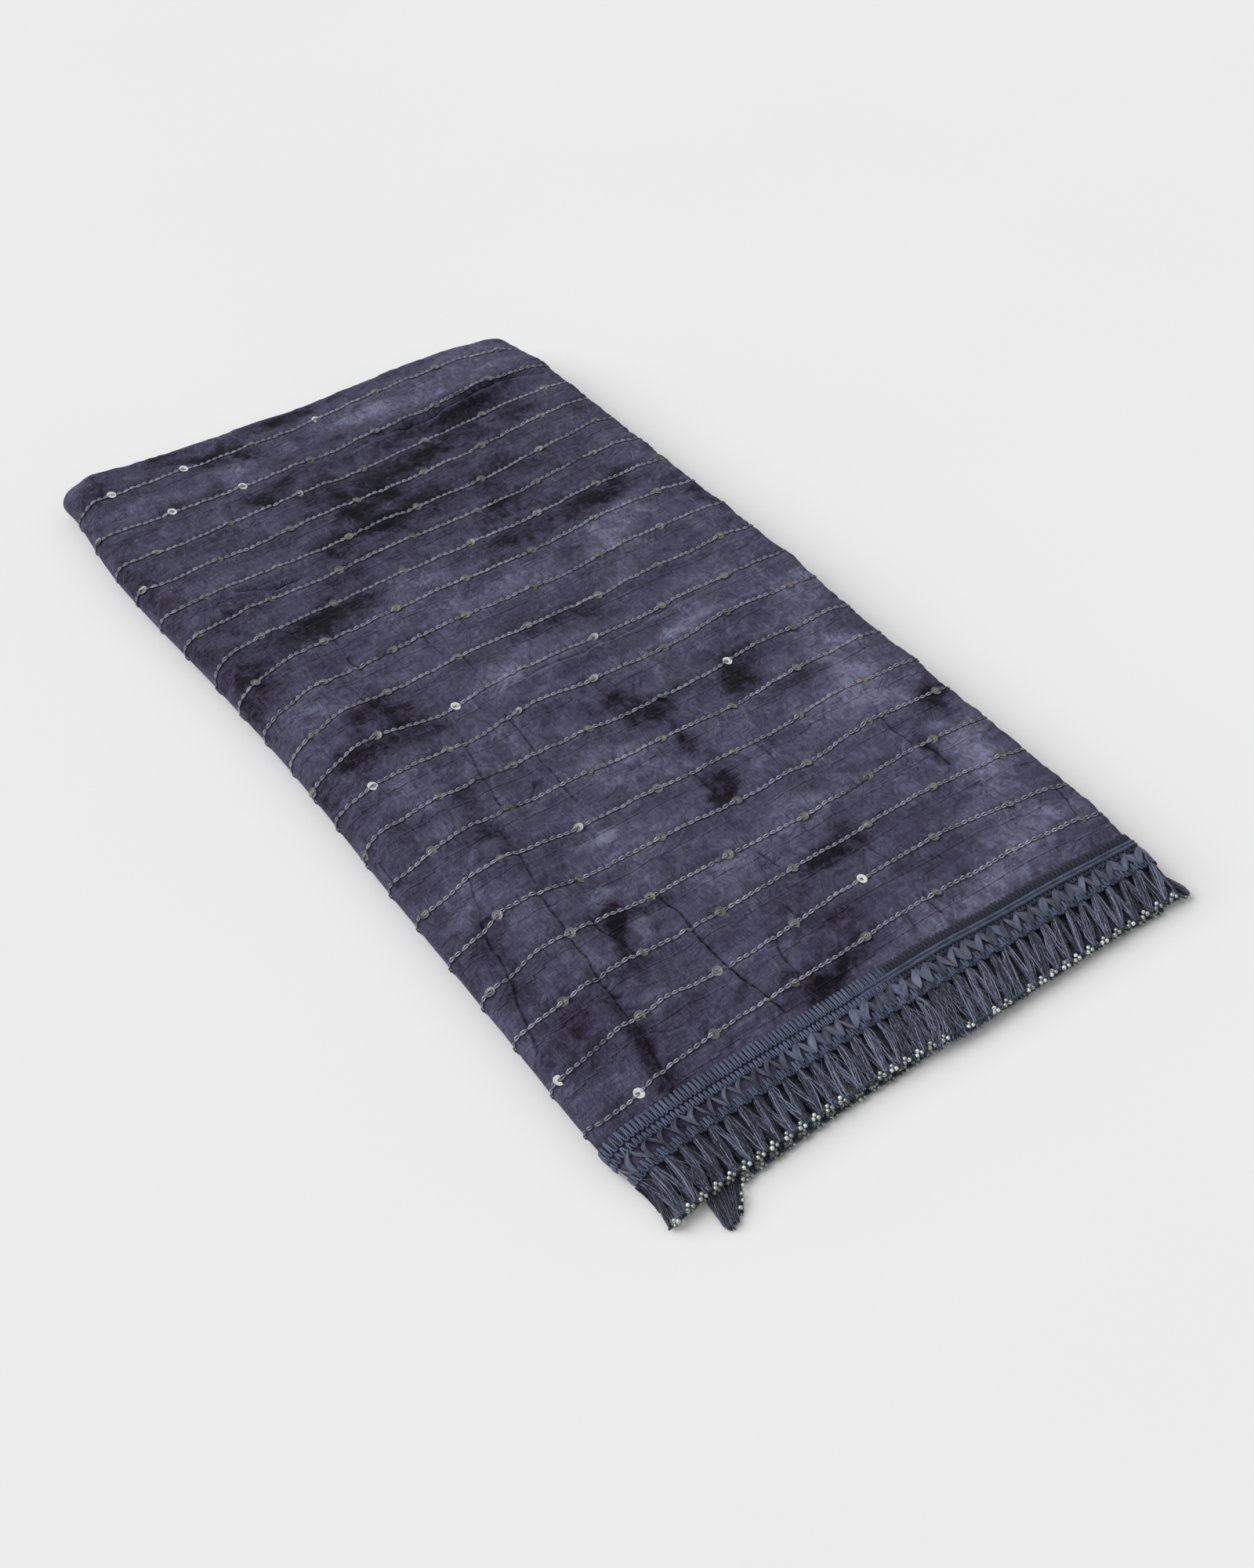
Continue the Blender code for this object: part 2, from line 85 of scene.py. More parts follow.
# How far the back edge, the lace and its beads stray from straight lines, and where the first two fade in
BACK_WAVE = table(
    "x shift",
    (-142, -4.0), (-133, 2.6), (-114, 2.8), (-86, 2.0), (-59, -0.4), (-30, -1.2), (0, -1.5),
    (32, 0.8), (64, 2.0), (98, 4.0), (113, 2.4), (127, -1.5), (140, -6.0),
)
LACE_WAVE = table(
    "x shift",
    (-142, 0.0), (-112, 2.0), (-75, 2.6), (-30, 2.6), (27, 3.0), (60, 1.4), (94, 0.4), (142, -2.6),
)
BACK_WAVE_FROM, BACK_WAVE_FULL = 190.0, 272.0
LACE_WAVE_FROM, LACE_WAVE_FULL = -130.0, -226.0
BEAD_EDGE_WAVE = 0.5
BEAD_WAVE = table(
    "x shift",
    (-142, -2.0), (-131, -0.8), (-115, 0.4), (-50, 2.2), (-3, 1.2), (25, -0.8), (63, 0.2), (98, 0.8),
    (115, 1.4), (130, 2.0), (138, 1.4), (146, -0.8),
)

# Broad swells of the top along a line from x0, y0 to x1, y1, and hollows where the height is below 0
RELIEF = table(
    "x0 y0 x1 y1 half_width height",
    (16, 226, 142, 240, 12, 1.8),
    (-10, 206, 132, 217, 11, -1.4),
    (-136, 268, -118, 274, 10, 1.8),
    (-116, 66, -66, -56, 13, 1.4),
    (-100, -44, -78, -196, 12, 1.6),
    (-68, 20, -52, -150, 11, -1.2),
    (-128, -64, -120, -214, 11, -1.5),
    (-20, 2, 108, -4, 13, 1.0),
    (24, -70, 76, -190, 17, 1.3),
    (96, 66, 126, -120, 16, -1.0),
    (-20, 134, 66, 104, 18, 1.2),
    (-92, 176, -30, 150, 14, -1.0),
)

# Places where the outline leaves the straight packet's: the cloth round x, y moves by dx, dy
PULLS = table(
    "x y spread_x spread_y dx dy",
    (-146, 274, 12, 9, -3.0, 4.0),
    (-133, 277, 5, 14, 0.0, -2.6),
    (-150, -256, 30, 15, 5.2, 0.0),
    (150, -246, 20, 15, 1.8, 0.0),
)
# The lace fans out towards its right corner by this much, from an x and a y on
FLARE = 6.0
FLARE_X, FLARE_WIDE = 80.0, 65.0
FLARE_Y, FLARE_DEEP = -243.0, 24.0

# Small creases in the top: a narrow trough along a straight line, with a low ridge on one side
CREASES = table(
    "x0 y0 x1 y1 half_width depth",
    (-103, 144, -90, 137, 1.2, 1.7),
    (-90, 137, -75, 137.5, 1.1, 1.6),
    (-49, -143, -50, -172, 1.3, 1.3),
    (-50, -172, -47, -202, 1.4, 1.5),
    (-47, -202, -44, -221, 1.4, 1.3),
    (2, -146, 4, -158, 1.2, 0.9),
    (41, -165, 44, -181, 1.2, 0.8),
    (102, -112, 103, -134, 1.2, 0.8),
    (105, -138, 109, -151, 1.6, 1.1),
    (138, -190, 135, -211, 1.4, 0.9),
    (-25, -190, -29, -209, 1.4, 0.9),
    (-9, -180, -8, -187, 1.0, 0.7),
    (46, -209, 45, -223, 1.2, 0.8),
    (31, -206, 30, -220, 1.2, 0.5),
    (41, -95, 42, -108, 1.1, 0.9),
    (7, -92, 6, -112, 1.3, 0.8),
    (-43, -10, -46, -35, 1.6, 0.8),
    (-46, -35, -48, -75, 1.6, 0.6),
    (-69, -12, -74, -36, 1.6, 0.9),
    (-75, -40, -77, -60, 1.5, 0.7),
    (-86, -72, -90, -104, 1.8, 0.8),
    (-92, -112, -98, -160, 2.0, 0.9),
    (-98, -160, -103, -225, 2.4, 1.1),
    (-121, -112, -130, -150, 3.0, 1.2),
    (-130, -150, -137, -175, 2.6, 1.0),
    (-83, 90, -83, 58, 1.5, 0.7),
    (-64, 62, -64, 42, 1.3, 0.6),
    (-46, 63, -44, 46, 1.3, 0.7),
    (-88, 38, -87, 18, 1.3, 0.7),
    (-38, 38, -38, 24, 1.2, 0.6),
    (-41, 135, -33, 135, 1.1, 0.7),
    (8, 220, 40, 220, 2.2, 0.8),
    (40, 220, 62, 223, 2.4, 1.2),
    (62, 223, 84, 228, 2.6, 1.6),
    (84, 228, 112, 229, 2.4, 1.2),
    (112, 229, 137, 226, 2.2, 0.8),
    (-30, 6.5, 30, 6.3, 1.2, 0.6),
    (30, 6.3, 62, 9, 1.2, 0.6),
    (62, 9, 100, 12.5, 1.2, 0.5),
    (-82, -136, -80, -160, 1.8, 1.0),
    (-74, -130, -62, -144, 2.0, 0.8),
    (-22, 174, -15, 164, 1.5, 0.8),
    (-26, 156, -14, 140, 1.6, 0.9),
    (109, -197, 110, -206, 1.0, 0.6),
    (-105, -198, -84, -203, 1.0, 0.6),
    (-112, -84, -118, -104, 1.5, 0.6),
    (-136, -40, -139, -70, 1.6, 0.6),
)

# Tie-dye: soft blotches, darker above 0 and lighter below, with half sizes along and across their angle
BLOTCHES = table(
    "x y along across angle dark",
    (20, 175, 130, 50, 0, 0.32),
    (-75, 262, 16, 3.5, -12, 1.4),
    (-60, 257, 14, 3.5, 25, 1.4),
    (-48, 252, 9, 4, 80, 1.2),
    (-86, 272, 16, 5, 0, 0.5),
    (-12, 270, 28, 5, 3, 0.8),
    (-58, 206, 10, 4, -30, 1.5),
    (-41, 212, 12, 5, 10, 1.0),
    (-32, 230, 16, 6, 110, 0.45),
    (-18, 242, 14, 4, 60, 0.45),
    (-84, 226, 28, 5, 2, 0.35),
    (-24, 200, 20, 8, 0, 0.35),
    (5, 186, 26, 7, 5, 0.95),
    (-6, 172, 18, 6, 10, 0.7),
    (40, 194, 26, 7, 12, 0.95),
    (62, 205, 26, 5, 8, 0.45),
    (76, 216, 26, 8, 12, 1.0),
    (104, 228, 18, 4, 8, 0.6),
    (45, 216, 30, 4, 8, 0.5),
    (98, 195, 12, 6, 0, 0.5),
    (-22, 168, 9, 4, 120, 1.3),
    (-27, 153, 22, 5, 4, 1.6),
    (-12, 147, 12, 4, 120, 1.0),
    (-2, 155, 20, 5, 20, 0.8),
    (-40, 146, 14, 6, 10, 0.6),
    (14, 152, 24, 12, 0, 0.45),
    (60, 160, 22, 8, 5, 0.35),
    (44, 128, 17, 6, 20, 1.2),
    (62, 118, 18, 6, 0, 0.6),
    (87, 105, 18, 8, 10, 1.25),
    (26, 100, 14, 8, 40, 0.6),
    (44, 104, 16, 7, 10, 0.5),
    (108, 116, 18, 8, 10, 0.5),
    (-82, 98, 26, 9, 6, 1.15),
    (-74, 108, 14, 5, 60, 0.7),
    (-116, 104, 22, 9, 8, 0.6),
    (-120, 128, 22, 8, 10, 0.4),
    (-52, 126, 26, 8, 0, 0.3),
    (-128, 78, 14, 10, 50, 0.9),
    (-138, 56, 16, 6, 80, 0.7),
    (-104, 66, 16, 8, 0, 0.3),
    (-88, 23, 16, 7, 110, 0.9),
    (-96, 30, 14, 6, 20, 0.6),
    (-110, 8, 20, 11, 20, 0.8),
    (-84, 4, 14, 8, 0, 0.4),
    (140, 76, 14, 5, 90, 0.7),
    (52, 52, 22, 9, 20, 0.35),
    (28, 36, 24, 8, 0, 0.45),
    (0, 40, 20, 8, 0, 0.3),
    (2, -31, 15, 5, 20, 0.8),
    (14, -47, 15, 7, 120, 1.3),
    (28, -42, 12, 5, 10, 0.6),
    (18, -73, 9, 5, 80, 1.2),
    (14, -102, 12, 5, 58, 1.35),
    (7, -95, 7, 4, 110, 0.9),
    (8, -110, 7, 4, 20, 0.8),
    (70, -47, 13, 7, 40, 1.4),
    (76, -35, 14, 5, 10, 0.75),
    (62, -60, 12, 6, 20, 0.5),
    (88, -66, 16, 5, 10, 0.4),
    (-90, -52, 40, 6, 88, 0.45),
    (-58, -36, 20, 4, 85, 0.35),
    (-124, -52, 26, 10, 70, 0.3),
    (-76, -147, 16, 4, 68, 1.5),
    (-62, -142, 14, 4, 5, 0.85),
    (-86, -138, 10, 7, 0, 0.5),
    (-80, -164, 12, 4, 80, 0.6),
    (-20, -221, 18, 4, 14, 1.5),
    (-4, -209, 22, 8, 10, 0.5),
    (-30, -212, 12, 6, 30, 0.5),
    (10, -196, 16, 6, 0, 0.45),
    (26, -165, 20, 5, 2, 1.05),
    (36, -158, 10, 5, 40, 0.5),
    (0, -176, 16, 8, 0, 0.3),
    (66, -196, 14, 8, 20, 0.3),
    (-103, -206, 32, 6, 84, 0.85),
    (-118, -178, 26, 8, 75, 0.4),
    (110, -139, 13, 3.5, 88, 1.0),
    (133, -116, 11, 8, 30, 1.0),
    (-125, -140, 40, 7, 80, 0.45),
    (-142, -10, 34, 7, 90, 0.5),
    (-142, 130, 50, 7, 90, 0.5),
    (-66, -92, 10, 5, 60, 0.35),
    (-132, 258, 16, 8, 0, 0.45),
    (-118, -205, 50, 34, 10, 0.2),
    (-144, 200, 40, 9, 90, 0.5),
    (-140, -110, 40, 7, 90, 0.35),
    (30, 250, 38, 10, 5, -0.6),
    (54, 240, 20, 5, 8, -0.5),
    (104, 252, 26, 8, 0, -0.35),
    (-30, 214, 8, 5, 80, -0.45),
    (-58, 236, 12, 5, 60, -0.4),
    (-104, 238, 24, 9, 0, -0.3),
    (-134, 228, 14, 10, 90, -0.15),
    (-64, 190, 16, 6, 0, -0.35),
    (-126, 175, 22, 12, 90, -0.1),
    (50, 172, 20, 5, 5, -0.4),
    (92, 84, 22, 8, 0, -0.35),
    (4, 70, 28, 12, 0, -0.35),
    (-24, 96, 24, 7, 0, -0.35),
    (70, 62, 24, 12, 60, -0.55),
    (65, -6, 18, 7, 15, -0.8),
    (96, 20, 22, 12, 0, -0.35),
    (-30, 18, 26, 12, 0, -0.35),
    (-110, 46, 16, 10, 0, -0.4),
    (128, -14, 22, 12, 0, -0.4),
    (112, -76, 38, 12, 82, -0.75),
    (96, -92, 18, 8, 0, -0.5),
    (124, -158, 26, 12, 70, -0.65),
    (104, -206, 28, 13, 10, -0.6),
    (60, -222, 26, 7, 8, -0.35),
    (60, -140, 30, 10, 0, -0.35),
    (-49, -99, 6, 3.5, 30, -1.5),
    (-36, -103, 5, 2.5, 0, -0.7),
    (-72, -126, 10, 3.5, 10, -0.9),
    (-66, -152, 8, 4, 60, -0.7),
    (-104, -30, 18, 14, 0, -0.4),
    (-24, -62, 26, 14, 0, -0.35),
    (-12, -142, 30, 10, 0, -0.35),
    (-112, -100, 14, 12, 0, -0.25),
    (-120, -205, 8, 14, 90, -0.15),
    (-50, -190, 26, 9, 0, -0.15),
    (40, -90, 16, 14, 60, -0.3),
)

# Rows of chain stitch: the u of their first sequin, then their y at each of ROW_STATIONS across the ply
ROW_STATIONS = np.array((-145, -132, -110, -70, -30, 10, 50, 90, 130), float)
STITCH_ROWS = np.array((
    (-123, 254.5, 253.5, 253.8, 255, 255.8, 258.4, 261, 261.4, 260),
    (-145, 227, 222.5, 222.7, 222, 224, 224.6, 226.6, 231.8, 232.5),
    (-124, 197, 196.3, 196, 198.4, 199.2, 202.2, 205, 209, 210.8),
    (-142, 174, 171.5, 173, 175.6, 176.8, 177.7, 180.4, 185.2, 189.3),
    (-119, 149, 148.3, 150.8, 151, 153.3, 154, 156, 161, 165),
    (-136, 125, 126, 129.8, 130, 132, 131.2, 133.2, 139.5, 141),
    (-111, 94.2, 102.8, 107.4, 109, 111, 110.6, 111, 115.8, 116.2),
    (-129, 71, 77, 84.3, 86, 88.5, 88, 88.2, 92.3, 92.3),
    (-104, 47, 51.8, 57.8, 60.8, 63.2, 63, 62.6, 66.8, 66.3),
    (-124, 21.5, 27.4, 34.6, 36.3, 38.5, 38.5, 38.2, 41, 41.8),
    (-142, 0.5, 5, 12.2, 9.2, 12.7, 12.5, 12, 14.8, 14),
    (-120, -21, -18, -13, -14.7, -10.7, -12.5, -13.8, -9.8, -10.8),
    (-141, -48, -41.5, -38.5, -39.3, -39, -41.2, -41.2, -36.5, -38),
    (-117, -69, -66.5, -62.5, -62, -63.5, -65, -65.8, -62, -61.8),
    (-138, -92, -90.4, -86, -87.5, -89, -91, -91.4, -86.6, -88.8),
    (-114, -118.6, -117.3, -110.2, -113.7, -114.5, -116.2, -116.3, -111.3, -112),
    (-136, -144, -142, -136.6, -139.5, -139, -140.6, -140.7, -136.6, -137.7),
    (-117, -168.5, -167, -164.2, -164, -164.2, -162.4, -162, -160.3, -162.6),
    (-138, -196, -194.3, -191, -189.7, -189.8, -186.3, -185.2, -185.4, -189.3),
    (-116, -218.5, -221, -218, -214.4, -213.4, -211.8, -209.7, -209.6, -211),
), float)
# Where the rows turn on the folds, over what distance and how far
HOOKS = table("start over turn", (-134, -9, 1.6), (130, 14, -2.0))
SEQUIN_SPACING = 41.6
# Sequins turned to catch the light and painted with a bright reflection, by row and place in the row
BRIGHT_SEQUINS = {
    (0, 0), (0, 1), (0, 3), (1, 1), (1, 2), (10, 2), (11, 0), (12, 5), (18, 0), (18, 4), (19, 0),
}

# The cloth's small relief fades out under the lace, and is weaker on the left fold
SMOOTH_Y, SMOOTH_DEEP = -227.0, 9.0
TAUT_U, TAUT_WIDE, TAUTNESS = -130.0, 9.0, 0.85
LINED_U, LINED_WIDE = -40.0, 60.0    # long fine lines come in left of this
LINED_Y, LINED_DEEP = 110.0, 90.0    # and in front of this
SEEN_LEFT, SEEN_RIGHT = -150.0, 150.0    # the photo shows the outer ply between these


def blend(t):
    """Smooth step from 0 to 1."""
    t = np.clip(t, 0.0, 1.0)
    return t * t * (3.0 - 2.0 * t)


def arch(t):
    """Rises from 0 to 1 and falls back to 0 while t runs from 0 to 1."""
    return np.sin(np.pi * t)


def bell(x, width):
    """Falls from 1 to 0 as x leaves 0 either way."""
    return np.exp(-((x / width) ** 2))


def curve(keys, values, at):
    """A smooth curve through points, flat beyond the first and last."""
    slopes = np.gradient(values, keys)
    slopes[1:-1] = (values[2:] - values[:-2]) / (keys[2:] - keys[:-2])
    at = np.clip(at, keys[0], keys[-1])
    i = np.clip(np.searchsorted(keys, at, side="right") - 1, 0, len(keys) - 2)
    span = keys[i + 1] - keys[i]
    t = (at - keys[i]) / span
    start = (2 * t**3 - 3 * t**2 + 1) * values[i] + (t**3 - 2 * t**2 + t) * span * slopes[i]
    end = (3 * t**2 - 2 * t**3) * values[i + 1] + (t**3 - t**2) * span * slopes[i + 1]
    return start + end


def read(rows, key, column, at):
    """One column of a table as a smooth curve over another."""
    return curve(rows[key], rows[column], at)


def noise(x, y, seed):
    """Smooth noise from -1 to 1 with grains 1 across."""
    size = 64
    grains = np.random.default_rng(seed).uniform(-1.0, 1.0, (size, size))
    i, j = np.floor(x).astype(int), np.floor(y).astype(int)
    fx, fy = blend(x - i), blend(y - j)
    near = grains[i % size, j % size] * (1 - fx) + grains[(i + 1) % size, j % size] * fx
    far = grains[i % size, (j + 1) % size] * (1 - fx) + grains[(i + 1) % size, (j + 1) % size] * fx
    return near * (1 - fy) + far * fy


def along_line(c, x, y):
    """Distances of points beside a table row's line and past its ends."""
    dx, dy = c["x1"] - c["x0"], c["y1"] - c["y0"]
    length = math.hypot(dx, dy)
    along = ((x - c["x0"]) * dx + (y - c["y0"]) * dy) / length
    beside = ((x - c["x0"]) * dy - (y - c["y0"]) * dx) / length
    return beside, np.maximum(np.maximum(-along, along - length), 0.0)


class Section:
    """The packet's section at y: its height and where the folds of the outer ply start."""

    def __init__(self, y):
        left, right = read(OUTLINE, "y", "left", y), read(OUTLINE, "y", "right", y)
        self.right = right
        self.high = read(OUTLINE, "y", "height", y)
        self.fold = (self.high - (self.high / 2 + SLIT / 2)) / 2
        self.round_width = LEFT_ROUND * self.high
        self.left_end = left + self.round_width
        self.right_end = right - self.fold
        self.left_arc = math.pi * np.sqrt((self.round_width**2 + (self.high / 2) ** 2) / 2)
        self.right_arc = math.pi * self.fold


def unroll(u, y):
    """x, z, outward normal (x, z) and share of free surface, at a distance u across the outer ply."""
    s = Section(y)
    half = s.high / 2
    t_left = np.clip((s.left_end - u) / s.left_arc, 0, 1)
    t_right = np.clip((u - s.right_end) / s.right_arc, 0, 1)
    angle = np.pi * (t_left + 0.5)
    across, up = np.cos(angle), np.sin(angle)
    size = np.hypot(across / s.round_width, up / half)
    turn = np.pi * (0.5 - t_right)
    on_left, on_right = u < s.left_end, u > s.right_end
    below = np.maximum(s.left_end - s.left_arc - u, 0)
    tucked = np.maximum(u - s.right_end - s.right_arc, 0)
    x = np.where(on_left, s.left_end + s.round_width * across + below, u)
    x = np.where(on_right, s.right_end + s.fold * np.cos(turn) - tucked, x)
    z = np.where(on_left, half + half * up, s.high)
    z = np.where(on_right, s.high - s.fold + s.fold * np.sin(turn), z)
    nx = np.where(on_left, across / s.round_width / size, np.where(on_right, np.cos(turn), 0.0))
    nz = np.where(on_left, up / half / size, np.where(on_right, np.sin(turn), 1.0))
    free = (1 - blend((t_left - 0.5) / 0.35)) * (1 - blend((t_right - 0.5) / 0.4))
    return x, z, nx, nz, free


def row_line(k, u):
    """y of stitch row k at u, which turns aside on both folds and wanders a little."""
    y = curve(ROW_STATIONS, STITCH_ROWS[k, 1:], u) + 0.1 * np.minimum(u - ROW_STATIONS[0], 0)
    for hook in each(HOOKS):
        y += hook["turn"] * blend((u - hook["start"]) / hook["over"])
    return y + 0.25 * noise(u / 13.0, np.full_like(u, k + 0.5), 71)


NO_ROW, NO_CREASE = 8.0, 6.0  # distances stored where no row or crease is near


def row_side(u, y):
    """Signed distance to the nearest row of stitch, no more than NO_ROW either way."""
    side = np.full_like(y, NO_ROW)
    for k in range(len(STITCH_ROWS)):
        away = y - row_line(k, u)
        side = np.where(np.abs(away) < np.abs(side), away, side)
    return side


def stitch_pull(u, y):
    """Relief in which each row of stitch draws the cloth in, with short puckers across it."""
    side = row_side(u, y)
    ripple = noise(u / 3.6, y / 60, 12) * bell(side, 5.0) + 0.6 * noise(u / 2.3, y / 9, 13)
    pull = 0.32 * bell(np.abs(side) - 4.0, 2.4) - 0.4 * bell(side, 1.4)
    return pull + 0.4 * ripple * bell(side, 6.0)


def crease_profile(u, y):
    """Relief of the narrow creases, then the side and strength of the nearest one for the painted shade and
    light along it.
    """
    total, strength = np.zeros_like(y), np.zeros_like(y)
    side = np.full_like(y, NO_CREASE)
    wander_x, wander_y = 1.6 * noise(u / 11, y / 11, 21), 1.6 * noise(u / 11, y / 11, 22)
    for c in each(CREASES):
        half = c["half_width"]
        beside, past = along_line(c, u + wander_x, y + wander_y)
        ends = bell(past, 1.5 * half)
        trough = bell(beside, half) * ends
        ridge = bell(beside - 2.2 * half, 1.7 * half) * ends
        total += c["depth"] * (0.7 * ridge - trough)
        reach = c["depth"] * ends * (1 - blend((np.abs(beside) - 3) / 3))
        side = np.where(reach > strength, beside, side)
        strength = np.maximum(strength, reach)
    return total, side, strength


def crumple(u, y):
    """Fine unevenness of thin cloth: streaks along both threads, facets and sharp little folds."""
    lengthwise = blend((LINED_U - u) / LINED_WIDE) * blend((LINED_Y - y) / LINED_DEEP)
    streaks = 0.22 * noise(u / 26 + 4, y / 4.2, 31) + 0.16 * noise(u / 15, y / 2.7, 32)
    lines = noise(u / 4.6 + y / 60, y / 34, 33) + 0.6 * noise(u / 2.9 - y / 45, y / 19, 34)
    bent_x, bent_y = u + 5 * noise(u / 19, y / 19, 36), y + 5 * noise(u / 17, y / 17, 38)
    ridges = 0.4 - np.abs(noise(bent_x / 17, bent_y / 14, 35))
    valleys = np.abs(noise(bent_x / 21, bent_y / 13, 40)) - 0.4
    dents = 0.4 - np.abs(noise(bent_x / 7.5, bent_y / 5.0, 37))
    crimps = np.abs(noise(bent_x / 5.0, bent_y / 9.0, 49)) - 0.4
    swells = noise(u / 34, y / 30, 39)
    small = streaks + 0.4 * lengthwise * lines + 0.55 * dents + 0.4 * crimps
    taut = 1 - 0.65 * bell(row_side(u, y), 2.2)
    return small * taut + 0.85 * ridges + 0.95 * valleys + 0.6 * swells


def clear_of_lace(y):
    """0 under the lace and 1 where the cloth is clear of it."""
    return blend((y - SMOOTH_Y) / SMOOTH_DEEP)


def fine_relief(u, y):
    """Everything that lifts the free cloth over its plain form."""
    loose = 1 - TAUTNESS * blend((TAUT_U - u) / TAUT_WIDE)
    return (stitch_pull(u, y) + crease_profile(u, y)[0] + crumple(u, y)) * clear_of_lace(y) * loose


def settle(x, y, z):
    """The place in the creased packet of a point of the straight one, in metres."""
    lift = np.zeros_like(x)
    for c in each(RELIEF):
        lift += c["height"] * bell(np.hypot(*along_line(c, x, y)), c["half_width"])
    share = np.maximum(z, 0) / read(OUTLINE, "y", "height", y)
    z = z + lift * share**2
    dx, dy = np.zeros_like(x), np.zeros_like(x)
    for p in each(PULLS):
        near = bell(x - p["x"], p["spread_x"]) * bell(y - p["y"], p["spread_y"])
        dx += p["dx"] * near
        dy += p["dy"] * near
    dx += FLARE * blend((x - FLARE_X) / FLARE_WIDE) * blend((FLARE_Y - y) / FLARE_DEEP)
    dy += read(BACK_WAVE, "x", "shift", x) * blend((y - BACK_WAVE_FROM) / (BACK_WAVE_FULL - BACK_WAVE_FROM))
    to_lace = blend((y - LACE_WAVE_FROM) / (LACE_WAVE_FULL - LACE_WAVE_FROM))
    to_beads = blend((y - LACE_TOP) / (BEAD_EDGE - LACE_TOP))
    dy += read(LACE_WAVE, "x", "shift", x) * to_lace * (1 - (1 - BEAD_EDGE_WAVE) * to_beads)
    dy += read(BEAD_WAVE, "x", "shift", x) * to_beads**2
    return np.stack([x + dx, y + dy, z], -1) * MM


def ply_at(u, y, lift, detail=1.0):
    """Place in metres at a height over the outer ply."""
    u, y, lift = (np.array(a, float) for a in np.broadcast_arrays(u, y, lift))
    x, z, nx, nz, free = unroll(u, y)
    if detail:
        lift = lift + detail * free * fine_relief(u, y)
    return settle(x + nx * lift, y, z + nz * lift)


def astray(u, y, coarse, fine, seed):
    """How far the edge of a blotch strays from its plain form."""
    return coarse * noise(u / 12, y / 12, seed) + fine * noise(u / 4.0, y / 4.0, seed + 1)


def dye_at(u, y):
    """How dark the tie-dye is, from about -1, pale, to 1, dark."""
    x0, y0 = u + astray(u, y, 3.2, 2.6, 41), y + astray(u, y, 3.0, 2.2, 43)
    total = np.zeros_like(u)
    for b in each(BLOTCHES):
        turn = math.radians(b["angle"])
        dx, dy = x0 - b["x"], y0 - b["y"]
        along = dx * math.cos(turn) + dy * math.sin(turn)
        across = dy * math.cos(turn) - dx * math.sin(turn)
        total += b["dark"] * bell(along, b["along"]) * bell(across, b["across"])
    unseen = blend((SEEN_LEFT - u) / 15) + blend((u - SEEN_RIGHT) / 10)
    cloudy = 0.6 * noise(x0 / 26, y0 / 17, 45) + 0.5 * noise(x0 / 12, y0 / 7, 46)
    grain = np.tanh(2.0 * (noise(x0 / 6.0, y0 / 5.0, 47) + 0.6 * noise(u / 2.6, y / 2.6, 48)))
    total = total + (0.3 + 0.5 * unseen) * cloudy
    return total + grain * (0.05 + 0.30 * np.clip(np.abs(total), 0, 1))


